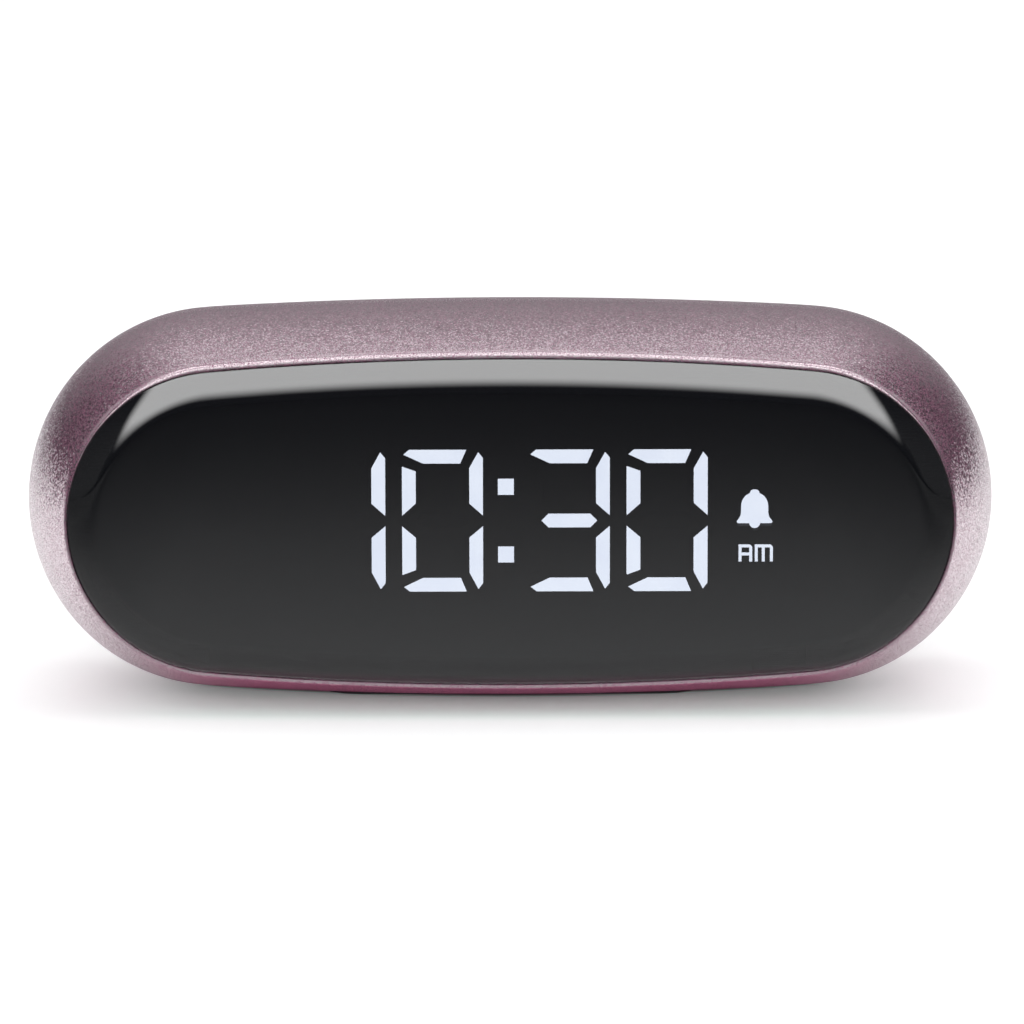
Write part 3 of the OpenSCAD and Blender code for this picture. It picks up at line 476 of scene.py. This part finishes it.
# Lens: a smoked acrylic pane, moulded with a rolled edge and a slight crown,
# polished, and glued into the front pocket of the sleeve on a foam ring.
def plug_of(name, points, front_y, back_y):
    """A closed plug of the given outline between two depths, with its front face selected in edit mode."""
    bpy.ops.object.select_all(action="DESELECT")
    bpy.ops.mesh.primitive_cylinder_add(vertices=len(points), end_fill_type="NGON")
    piece = bpy.context.object
    piece.name = name
    for i, corner in enumerate(piece.data.vertices):
        x, z = points[i // 2]
        corner.co = (x, front_y if corner.co.z > 0 else back_y, CASE_MID_Z + z)
    bpy.ops.object.mode_set(mode="EDIT")
    bpy.ops.mesh.select_all(action="SELECT")
    bpy.ops.mesh.normals_make_consistent(inside=False)
    bpy.ops.mesh.select_mode(type="FACE")
    bpy.ops.mesh.select_all(action="DESELECT")
    bpy.ops.object.mode_set(mode="OBJECT")
    for face in piece.data.polygons:
        face.select = abs(face.center.y - front_y) < 1e-6
    bpy.ops.object.mode_set(mode="EDIT")
    return piece


LENS_EDGE_Y = -0.01635
LENS_BACK_Y = -0.0148
LENS_GAP = 0.00004
ROLL_WIDTH = 0.0034
ROLL_DROP = 0.00115
LENS_CROWN = 0.00044
ROLL_STEPS = 16
CROWN_STEPS = 12
CROWN_WIDTH = 0.0152


def lens_rise(t):
    """How far the lens stands out over its edge, at a distance in from the edge."""
    radius = (ROLL_WIDTH ** 2 + ROLL_DROP ** 2) / (2 * ROLL_DROP)
    rolled = ROLL_DROP
    if t < ROLL_WIDTH:
        rolled -= radius - math.sqrt(radius ** 2 - (ROLL_WIDTH - t) ** 2)
    half_height = MOUTH_HALF_HEIGHT - LENS_GAP
    return rolled + LENS_CROWN * (1 - (1 - t / half_height) ** 2)


lens = plug_of("smoked_lens", mouth_outline(LENS_GAP), LENS_EDGE_Y, LENS_BACK_Y)
steps = [ROLL_WIDTH * i / ROLL_STEPS for i in range(ROLL_STEPS + 1)]
steps += [ROLL_WIDTH + (CROWN_WIDTH - ROLL_WIDTH) * i / CROWN_STEPS for i in range(1, CROWN_STEPS + 1)]
for before, after in zip(steps, steps[1:]):
    bpy.ops.mesh.inset(thickness=after - before, depth=lens_rise(after) - lens_rise(before))
bpy.ops.object.mode_set(mode="OBJECT")
bpy.ops.object.shade_smooth_by_angle(angle=math.radians(35))

LENS_CLARITY = 0.25
SMOKE = {"Base Color": (0.006, 0.0065, 0.008, 1), "Alpha": 1 - LENS_CLARITY}
material, tree, shader = new_material("smoked_acrylic", {**SMOKE, "IOR": 2.1, "Coat Weight": 1.0,
                                                         "Coat Roughness": 0.015})
place = put(tree, "TexCoord")
wipe = put(tree, "TexNoise", {"Scale": 90, "Detail": 4, "Roughness": 0.6}, Vector=place.outputs["Object"])
polish = put(tree, "MapRange", {"From Min": 0.35, "From Max": 0.7, "To Min": 0.012, "To Max": 0.03},
             Value=wipe.outputs["Fac"])
tree.links.new(polish.outputs["Result"], shader.inputs["Roughness"])
lens.data.materials.append(material)
material, tree, shader = new_material("lens_back", {**SMOKE, "Specular IOR Level": 0})
place = put(tree, "TexCoord")
haze = put(tree, "TexNoise", {"Scale": 400, "Detail": 2}, Vector=place.outputs["Object"])
dulled = put(tree, "MapRange", {"To Min": 0.5, "To Max": 0.7}, Value=haze.outputs["Fac"])
tree.links.new(dulled.outputs["Result"], shader.inputs["Roughness"])
lens.data.materials.append(material)
for face in lens.data.polygons:
    face.material_index = 1 if face.center.y > LENS_EDGE_Y + 1e-5 else 0
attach(lens, "clock_body")
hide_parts("front_lens")
lens_only.objects.link(lens)


# Foot: a thin pad of black silicone, die-cut and glued under the belly of the
# sleeve, so that the clock doesn't slide when a key is pressed.
def two_tones(tree, shader, speck, edges, dark, light, gloss):
    """Colours a shader between two tones along a noise, with a gloss that follows it."""
    tones = put(tree, "ValToRGB", Fac=speck)
    for element, edge, tone in zip(tones.color_ramp.elements, edges, (dark, light)):
        element.position = edge
        element.color = (*tone, 1)
    tree.links.new(tones.outputs["Color"], shader.inputs["Base Color"])
    sheen = put(tree, "MapRange", {"From Min": 0.3, "From Max": 0.7, "To Min": gloss[0], "To Max": gloss[1]},
                Value=speck)
    tree.links.new(sheen.outputs["Result"], shader.inputs["Roughness"])


def moulded(name, dark, light, grain, gloss, relief, settings=None):
    """A moulded material: two close tones in fine specks, with a gloss and a relief that follow them."""
    material, tree, shader = new_material(name, settings)
    place = put(tree, "TexCoord")
    speck = put(tree, "TexNoise", {"Scale": 1 / grain, "Detail": 3, "Roughness": 0.6},
                Vector=place.outputs["Object"])
    two_tones(tree, shader, speck.outputs["Fac"], (0.35, 0.65), dark, light, gloss)
    bump = put(tree, "Bump", {"Strength": 0.6, "Distance": relief}, Height=speck.outputs["Fac"])
    tree.links.new(bump.outputs["Normal"], shader.inputs["Normal"])
    return material


def dress(material, *names):
    """Gives CAD nodes a finished material."""
    for name in names:
        node[name].data.materials.clear()
        node[name].data.materials.append(material)


silicone = moulded("black_silicone", (0.030, 0.030, 0.033), (0.042, 0.042, 0.045), grain=0.0003,
                   gloss=(0.55, 0.75), relief=0.00002)
dress(silicone, "base_pad")

# Foam rings: closed-cell black foam with adhesive on both sides, behind the lens
# and round the speaker.
foam = moulded("black_foam", (0.010, 0.010, 0.011), (0.022, 0.022, 0.023), grain=0.0004,
               gloss=(0.85, 0.98), relief=0.00006)
dress(foam, "lens_gasket", "speaker_gasket")

# Light box: a moulded black block with one tapered well for each segment, so that
# no light strays between them. The segments that are off stay dark.
NO_GLARE = {"Specular IOR Level": 0.06}
box_black = moulded("light_box_black", (0.008, 0.008, 0.009), (0.012, 0.012, 0.013), grain=0.0005,
                    gloss=(0.6, 0.75), relief=0.00001, settings=NO_GLARE)
dress(box_black, "display_housing")
unlit = moulded("dark_diffuser", (0.012, 0.012, 0.014), (0.018, 0.018, 0.020), grain=0.0006,
                gloss=(0.5, 0.6), relief=0.000005, settings=NO_GLARE)
dress(unlit, "unlit_segments", "period_window")

# Lit windows: milky diffusers, moulded and pressed into the light box, each lit
# from behind by its own lamp, with a faint cloud in the plastic.
LIT_STRENGTH = 0.92 / LENS_CLARITY ** 2
diffuser, tree, shader = new_material("lit_diffuser", {"Base Color": (0.85, 0.87, 0.9, 1), "Roughness": 0.6,
                                                       "Emission Strength": LIT_STRENGTH})
place = put(tree, "TexCoord")
cloud = put(tree, "TexNoise", {"Scale": 260, "Detail": 2}, Vector=place.outputs["Object"])
glow = put(tree, "ValToRGB", Fac=cloud.outputs["Fac"])
glow.color_ramp.elements[0].position = 0.3
glow.color_ramp.elements[0].color = (0.76, 0.82, 0.96, 1)
glow.color_ramp.elements[1].position = 0.7
glow.color_ramp.elements[1].color = (0.82, 0.88, 1.0, 1)
tree.links.new(glow.outputs["Color"], shader.inputs["Emission Color"])
dress(diffuser, "lit_segments")


# Bell and letters: the alarm bell is a diffuser of its own. The letters of the day
# half are cut out of a dark film over their window.
def mesh_from(name, drawing, lines, closed):
    """A mesh piece from a curve of straight runs between the points of each line."""
    bpy.ops.object.select_all(action="DESELECT")
    for points in lines:
        line = drawing.splines.new("POLY")
        line.points.add(len(points) - 1)
        for point, place in zip(line.points, points):
            point.co = (*place, 1)
        line.use_cyclic_u = closed
    piece = bpy.data.objects.new(name, drawing)
    bpy.context.scene.collection.objects.link(piece)
    piece.select_set(True)
    bpy.context.view_layer.objects.active = piece
    bpy.ops.object.convert(target="MESH")
    return bpy.context.object


def close_up(contact_shadow):
    """Merges the corners of the active piece that coincide, and points its faces outwards."""
    bpy.ops.object.mode_set(mode="EDIT")
    bpy.ops.mesh.select_all(action="SELECT")
    bpy.ops.mesh.remove_doubles(threshold=contact_shadow)
    bpy.ops.mesh.normals_make_consistent(inside=False)
    bpy.ops.object.mode_set(mode="OBJECT")


def stand_up(piece, centre, facing):
    """Turns a flat mark upright at its place, to be read from the front (-1) or from behind (+1)."""
    piece.rotation_euler = (math.pi / 2, 0, math.pi if facing > 0 else 0)
    piece.location = centre
    bpy.ops.object.transform_apply(location=True, rotation=True, scale=True)
    close_up(1e-7)


def flat_mark(name, outlines, centre, facing, thickness):
    """A flat mark cut from a sheet: closed outlines, read from the front (-1) or from behind (+1)."""
    drawing = bpy.data.curves.new(name, "CURVE")
    drawing.dimensions = "2D"
    drawing.fill_mode = "BOTH"
    drawing.extrude = thickness / 2
    flat = [[(u, v, 0) for u, v in outline] for outline in outlines]
    piece = mesh_from(name, drawing, flat, closed=True)
    stand_up(piece, centre, facing)
    return piece


def bell_outline(height):
    """A bell with a knob, straight sides, a flared mouth and a clapper, about its own middle."""
    half = [
        (0.0, 1.0), (0.10, 0.987), (0.18, 0.95), (0.225, 0.89), (0.24, 0.815), (0.31, 0.775), (0.40, 0.725),
        (0.50, 0.64), (0.585, 0.52), (0.645, 0.40), (0.68, 0.27), (0.692, 0.12), (0.696, -0.1),
        (0.704, -0.25), (0.724, -0.36), (0.766, -0.45), (0.828, -0.535), (0.885, -0.605), (0.909, -0.665),
        (0.895, -0.715), (0.859, -0.742), (0.807, -0.75), (0.279, -0.75), (0.259, -0.82), (0.212, -0.90),
        (0.145, -0.965), (0.072, -0.992), (0.0, -1.0),
    ]
    scaled = [(u * height / 2, v * height / 2) for u, v in half]
    return scaled + [(-u, v) for u, v in reversed(scaled[1:-1])]


BELL_X = 0.02485
BELL_Z = CASE_MID_Z + 0.00101
BELL_HEIGHT = 0.00398
BELL_PROUD = 0.00006
WINDOW_FRONT_Y = -0.0146
WINDOW_BACK_Y = -0.0131
bell_front_y = WINDOW_FRONT_Y - BELL_PROUD
bell_mid = (BELL_X, (bell_front_y + WINDOW_BACK_Y) / 2, BELL_Z)
bell = flat_mark("lit_bell", [bell_outline(BELL_HEIGHT)], bell_mid, -1, WINDOW_BACK_Y - bell_front_y)
bell.data.materials.append(diffuser)
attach(bell, "clock_body")
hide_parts("bell_window")

STROKE = 0.00030
LETTER_HEIGHT = 0.00176
LETTER_A_WIDTH = 0.00139
LETTER_M_WIDTH = 0.00184
LETTER_M_MID = 0.47
LETTER_GAP = 0.00026
CORNER = 0.00024
CROSSBAR = 0.00078
LETTERS_X = 0.02323
LETTERS_Z = CASE_MID_Z - 0.00445
FILM = 0.0001
s, h, a, m, c = STROKE, LETTER_HEIGHT, LETTER_A_WIDTH, LETTER_M_WIDTH, CORNER
bar_low, bar_high = CROSSBAR - s / 2, CROSSBAR + s / 2
letter_a = [
    (0, 0), (s, 0), (s, bar_low), (a - s, bar_low), (a - s, 0), (a, 0), (a, h - c), (a - c, h), (0, h),
]
hole_a = [(s, bar_high), (a - s, bar_high), (a - s, h - s), (s, h - s)]
left, right = a + LETTER_GAP, a + LETTER_GAP + m
mid = left + m * LETTER_M_MID
letter_m = [
    (left, 0), (left + s, 0), (left + s, h - s), (mid - s / 2, h - s), (mid - s / 2, 0), (mid + s / 2, 0),
    (mid + s / 2, h - s), (right - s, h - s), (right - s, 0), (right, 0), (right, h - c), (right - c, h),
    (left, h),
]
letters_at = (LETTERS_X, WINDOW_FRONT_Y, LETTERS_Z)
letters = flat_mark("lit_letters", [letter_a, hole_a, letter_m], letters_at, -1, FILM)
letters.data.materials.append(diffuser)
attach(letters, "clock_body")

# Mask: black ink on the back of the lens, printed round the display's window, so
# that nothing behind it shows through.
MASK_INSET = 0.0024
MASK_Y = -0.01477
INK = 0.00002
WINDOW_X = (-0.0165, 0.0287)
WINDOW_HALF_HEIGHT = 0.0088
window = [(WINDOW_X[0], -WINDOW_HALF_HEIGHT), (WINDOW_X[1], -WINDOW_HALF_HEIGHT),
          (WINDOW_X[1], WINDOW_HALF_HEIGHT), (WINDOW_X[0], WINDOW_HALF_HEIGHT)]
mask = flat_mark("lens_mask", [mouth_outline(MASK_INSET), window], (0, MASK_Y, CASE_MID_Z), -1, INK)
black_ink = moulded("black_ink", (0.006, 0.006, 0.007), (0.009, 0.009, 0.010), grain=0.0005,
                    gloss=(0.7, 0.8), relief=0.000002, settings=NO_GLARE)
mask.data.materials.append(black_ink)
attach(mask, "clock_body")

# Boards: glass-epoxy under green solder mask, with paler copper tracks below it
# and bare fibre at the sawn edges. Both are screwed to the chassis.
material, tree, shader = new_material("green_board", None)
place = put(tree, "TexCoord")
upright = put(tree, "Mapping", {"Rotation": (math.radians(90), 0, 0)}, Vector=place.outputs["Object"])
tracks = put(tree, "TexBrick", {"Scale": 1, "Brick Width": 0.0031, "Row Height": 0.0011,
                                "Mortar Size": 0.00011, "Mortar Smooth": 0.3,
                                "Color1": (0.010, 0.090, 0.040, 1), "Color2": (0.012, 0.105, 0.045, 1),
                                "Mortar": (0.030, 0.19, 0.085, 1)}, Vector=upright.outputs["Vector"])
tree.links.new(tracks.outputs["Color"], shader.inputs["Base Color"])
mask_gloss = put(tree, "TexNoise", {"Scale": 900, "Detail": 2}, Vector=place.outputs["Object"])
gloss = put(tree, "MapRange", {"To Min": 0.28, "To Max": 0.45}, Value=mask_gloss.outputs["Fac"])
tree.links.new(gloss.outputs["Result"], shader.inputs["Roughness"])
relief = put(tree, "Bump", {"Strength": 0.5, "Distance": 0.00003}, Height=tracks.outputs["Fac"])
tree.links.new(relief.outputs["Normal"], shader.inputs["Normal"])
dress(material, "display_board", "main_board")

# Parts on the boards: pale lamps with a yellow phosphor, ceramic chips, black
# moulded chips and switch bodies, and tinned cans.
lamp_body = moulded("lamp_phosphor", (0.78, 0.66, 0.30), (0.90, 0.82, 0.52), grain=0.0008,
                    gloss=(0.3, 0.45), relief=0.000005)
dress(lamp_body, "led_chips")
chip_ceramic = moulded("chip_ceramic", (0.36, 0.28, 0.20), (0.52, 0.42, 0.31), grain=0.0005,
                       gloss=(0.4, 0.6), relief=0.000005)
dress(chip_ceramic, "board_passives")
chip_black = moulded("moulded_black", (0.022, 0.022, 0.024), (0.034, 0.034, 0.036), grain=0.0004,
                     gloss=(0.45, 0.62), relief=0.000012)
dress(chip_black, "controller_chip", "tact_switches", "speaker_frame", "usb_tongue", "slide_lever")
plunger_plastic = moulded("plunger_nylon", (0.68, 0.68, 0.67), (0.78, 0.78, 0.77), grain=0.0005,
                          gloss=(0.4, 0.55), relief=0.000008)
dress(plunger_plastic, "time_plunger", "alarm_plunger", "plus_plunger", "minus_plunger")


def plated(name, dark, light, brushed, gloss):
    """A plated metal with fine drawn lines along the depth of the clock."""
    material, tree, shader = new_material(name, {"Metallic": 1.0})
    place = put(tree, "TexCoord")
    stretch = put(tree, "Mapping", {"Scale": (1 / brushed, 0.04 / brushed, 1 / brushed)},
                  Vector=place.outputs["Object"])
    lines = put(tree, "TexNoise", {"Scale": 1, "Detail": 3, "Roughness": 0.65},
                Vector=stretch.outputs["Vector"])
    two_tones(tree, shader, lines.outputs["Fac"], (0.3, 0.7), dark, light, gloss)
    return material


tinned = plated("tinned_can", (0.56, 0.56, 0.57), (0.68, 0.68, 0.69), brushed=0.0003, gloss=(0.22, 0.36))
dress(tinned, "clock_crystal", "slide_switch", "usb_shell", "speaker_magnet")
nickel = plated("nickel_screw", (0.46, 0.46, 0.48), (0.60, 0.60, 0.62), brushed=0.0002, gloss=(0.2, 0.34))
dress(nickel, "display_screws", "board_screws", "cover_screws")
bronze = plated("bare_bronze", (0.66, 0.40, 0.17), (0.78, 0.50, 0.24), brushed=0.0003, gloss=(0.25, 0.4))
dress(bronze, "touch_electrode", "touch_contact", "speaker_contacts")

# Chassis: one grey moulded frame that carries the light box, the battery, the main
# board and the posts for the cover screws.
frame_grey = moulded("frame_grey", (0.44, 0.44, 0.45), (0.52, 0.52, 0.53), grain=0.0008,
                     gloss=(0.5, 0.65), relief=0.00002)
dress(frame_grey, "chassis")

# Battery: a flat pouch cell in creased foil, held by a strip of tape, with sleeved
# leads to a small plug. A flat ribbon joins the two boards.
pouch_foil = moulded("pouch_foil", (0.48, 0.52, 0.58), (0.62, 0.66, 0.72), grain=0.004,
                     gloss=(0.22, 0.38), relief=0.00012, settings={"Metallic": 0.8})
dress(pouch_foil, "battery_cell")
off_white = moulded("off_white_plastic", (0.72, 0.71, 0.66), (0.82, 0.81, 0.76), grain=0.0006,
                    gloss=(0.4, 0.6), relief=0.00001)
dress(off_white, "battery_tape", "battery_plug", "display_ribbon", "ribbon_sockets")
lead_red = moulded("red_sleeve", (0.36, 0.018, 0.018), (0.46, 0.035, 0.03), grain=0.0005,
                   gloss=(0.4, 0.55), relief=0.00001)
dress(lead_red, "battery_leads")

# Speaker cone: a thin film with a fine fibre, pressed to shape and glued at its
# edge into the speaker's frame.
film = moulded("speaker_film", (0.022, 0.022, 0.023), (0.040, 0.040, 0.041), grain=0.0003,
               gloss=(0.5, 0.7), relief=0.00003)
dress(film, "speaker_cone")

# Rear cover: charcoal plastic with a fine spark-eroded grain, moulded with a rolled
# border. Four screws hold it. The rims of its openings are broken.
COVER_FACE_Y = 0.01715
RIM_BREAK = 0.00014
SOUND_X = -0.022
SOUND_REACH = 0.007
cover = copy_of("rear_cover", "back_cover")
bpy.ops.object.mode_set(mode="EDIT")
bpy.ops.mesh.select_mode(type="EDGE")
bpy.ops.mesh.select_all(action="DESELECT")
bpy.ops.mesh.edges_select_sharp(sharpness=math.radians(60))
bpy.ops.object.mode_set(mode="OBJECT")
for edge in cover.data.edges:
    ends = [cover.data.vertices[i].co for i in edge.vertices]
    on_face = all(abs(end.y - COVER_FACE_Y) < 1e-6 for end in ends)
    sound_hole = math.hypot(ends[0].x - SOUND_X, ends[0].z - CASE_MID_Z) < SOUND_REACH
    edge.select = edge.select and on_face and not sound_hole
for part in list(cover.data.vertices) + list(cover.data.polygons):
    part.select = False
bpy.ops.object.mode_set(mode="EDIT")
bpy.ops.mesh.bevel(offset=RIM_BREAK, segments=3, affect="EDGES", clamp_overlap=False)
bpy.ops.object.mode_set(mode="OBJECT")
bpy.ops.object.shade_smooth_by_angle(angle=math.radians(32))
charcoal = moulded("charcoal_grain", (0.030, 0.029, 0.032), (0.052, 0.050, 0.054), grain=0.00022,
                   gloss=(0.48, 0.66), relief=0.00004)
cover.data.materials.append(charcoal)
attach(cover, "clock_body")
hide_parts("rear_cover")


# Keys: four turned-looking caps of satin plastic with a dished top, moulded with a
# flange that keeps them in the cover, each with a printed mark.
def turned(name, profile, x, z, steps):
    """A piece of revolution: a profile of radius and depth, spun about a line from front to back."""
    drawing = bpy.data.curves.new(name, "CURVE")
    drawing.dimensions = "3D"
    piece = mesh_from(name, drawing, [[(x + r, y, z) for r, y in profile]], closed=False)
    bpy.ops.object.mode_set(mode="EDIT")
    bpy.ops.mesh.select_all(action="SELECT")
    bpy.ops.mesh.spin(steps=steps, angle=2 * math.pi, center=(x, 0, z), axis=(0, 1, 0))
    bpy.ops.object.mode_set(mode="OBJECT")
    close_up(1e-6)
    bpy.ops.object.shade_smooth_by_angle(angle=math.radians(32))
    return piece


KEY_X = {"time": -0.0060, "alarm": 0.00553, "plus": 0.01707, "minus": 0.0286}
KEY_Z = CASE_MID_Z + 0.004
KEY_TOP_Y = 0.01795
KEY_R = 0.0032
KEY_ROUND = 0.0004
KEY_STEPS = 64
STEM_R = 0.0015
STEM_Y = 0.01405
FLANGE_R = 0.0040
FLANGE_FRONT_Y = 0.0143
FLANGE_BACK_Y = 0.0151
FLANGE_BREAK = 0.0001
DISH_Y = 0.01772
DISH_R = 0.00262
DISH_SLOPE = 0.0005
ROUND_STEPS = 8
DISH_STEPS = 6
profile = [
    (0, STEM_Y), (STEM_R, STEM_Y), (STEM_R, FLANGE_FRONT_Y), (FLANGE_R - FLANGE_BREAK, FLANGE_FRONT_Y),
    (FLANGE_R, FLANGE_FRONT_Y + FLANGE_BREAK), (FLANGE_R, FLANGE_BACK_Y - FLANGE_BREAK),
    (FLANGE_R - FLANGE_BREAK, FLANGE_BACK_Y), (KEY_R, FLANGE_BACK_Y),
]
for i in range(ROUND_STEPS + 1):
    turn = math.radians(90) * i / ROUND_STEPS
    profile.append((KEY_R - KEY_ROUND * (1 - math.cos(turn)), KEY_TOP_Y - KEY_ROUND * (1 - math.sin(turn))))
for i in range(DISH_STEPS + 1):
    share = i / DISH_STEPS
    dip = (1 + math.cos(math.pi * share)) / 2
    profile.append((DISH_R - DISH_SLOPE * share, DISH_Y + (KEY_TOP_Y - DISH_Y) * dip))
profile.append((0, DISH_Y))
first_cap = turned("time_cap", profile, KEY_X["time"], KEY_Z, KEY_STEPS)
satin = moulded("satin_key", (0.075, 0.073, 0.079), (0.095, 0.093, 0.099), grain=0.0005,
                gloss=(0.34, 0.48), relief=0.000008)
first_cap.data.materials.append(satin)
caps = {"time": first_cap}
for key in ("alarm", "plus", "minus"):
    cap = first_cap.copy()
    cap.data = first_cap.data.copy()
    cap.name = key + "_cap"
    bpy.context.scene.collection.objects.link(cap)
    for corner in cap.data.vertices:
        corner.co.x += KEY_X[key] - KEY_X["time"]
    caps[key] = cap
for key, cap in caps.items():
    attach(cap, key + "_button")
    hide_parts(key + "_key")


def ring_line(radius, count=40):
    """A circle as a closed outline."""
    turns = [2 * math.pi * i / count for i in range(count)]
    return [(radius * math.cos(turn), radius * math.sin(turn)) for turn in turns]


BAR = 0.00022
REACH = 0.00115
DIAL_R = 0.00145
DIAL_HOLE_R = 0.00117
HAND = 0.00013
LONG_HAND = 0.00085
SHORT_HAND = 0.00068
KEY_BELL = 0.0027
PRINT = 0.00002
minus_sign = [(-REACH, -BAR), (REACH, -BAR), (REACH, BAR), (-REACH, BAR)]
plus_sign = [
    (-REACH, -BAR), (-BAR, -BAR), (-BAR, -REACH), (BAR, -REACH), (BAR, -BAR), (REACH, -BAR),
    (REACH, BAR), (BAR, BAR), (BAR, REACH), (-BAR, REACH), (-BAR, BAR), (-REACH, BAR),
]
hands = [
    (-HAND, LONG_HAND), (-HAND, -HAND), (SHORT_HAND, -HAND), (SHORT_HAND, HAND), (HAND, HAND),
    (HAND, LONG_HAND),
]
KEY_MARKS = {"time": [ring_line(DIAL_R), ring_line(DIAL_HOLE_R), hands], "alarm": [bell_outline(KEY_BELL)],
             "plus": [plus_sign], "minus": [minus_sign]}
white_ink = moulded("white_ink", (0.70, 0.70, 0.70), (0.80, 0.80, 0.80), grain=0.0002,
                    gloss=(0.5, 0.65), relief=0.000004)
for key, outlines in KEY_MARKS.items():
    mark = flat_mark(key + "_mark", outlines, (KEY_X[key], DISH_Y, KEY_Z), 1, 2 * PRINT)
    mark.data.materials.append(white_ink)
    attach(mark, key + "_button")

# Alarm slider: a satin thumb piece with three grip grooves, moulded on a plate
# that slides behind the cover. ON and OFF are printed at the ends of its slot.
THUMB_BREAK = 0.00009
slider = copy_of("alarm_slider", "slider_thumb")
bpy.ops.object.mode_set(mode="EDIT")
bpy.ops.mesh.select_mode(type="EDGE")
bpy.ops.mesh.select_all(action="SELECT")
bpy.ops.mesh.dissolve_limited(angle_limit=math.radians(2))
bpy.ops.mesh.select_all(action="DESELECT")
bpy.ops.mesh.edges_select_sharp(sharpness=math.radians(60))
bpy.ops.mesh.bevel(offset=THUMB_BREAK, segments=2, affect="EDGES")
bpy.ops.object.mode_set(mode="OBJECT")
bpy.ops.object.shade_smooth_by_angle(angle=math.radians(35))
slider.data.materials.append(satin)
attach(slider, "alarm_switch")
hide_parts("alarm_slider")

SLOT_X = 0.003
SLOT_Z = CASE_MID_Z - 0.008
LABEL_SIZE = 0.0021
LABEL_X = {"ON": SLOT_X - 0.0056, "OFF": SLOT_X + 0.0060}
SLOT_BELL = 0.0022
SLOT_BELL_RISE = 0.0032
for word, x in LABEL_X.items():
    bpy.ops.object.select_all(action="DESELECT")
    bpy.ops.object.text_add()
    label = bpy.context.object
    label.name = "label_" + word.lower()
    label.data.body = word
    label.data.size = LABEL_SIZE
    label.data.align_x = "CENTER"
    label.data.align_y = "CENTER"
    label.data.extrude = PRINT
    bpy.ops.object.convert(target="MESH")
    label = bpy.context.object
    stand_up(label, (x, COVER_FACE_Y, SLOT_Z), 1)
    label.data.materials.append(white_ink)
    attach(label, "clock_body")
slot_bell_at = (SLOT_X, COVER_FACE_Y, SLOT_Z + SLOT_BELL_RISE)
slot_bell = flat_mark("label_bell", [bell_outline(SLOT_BELL)], slot_bell_at, 1, 2 * PRINT)
slot_bell.data.materials.append(white_ink)
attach(slot_bell, "clock_body")
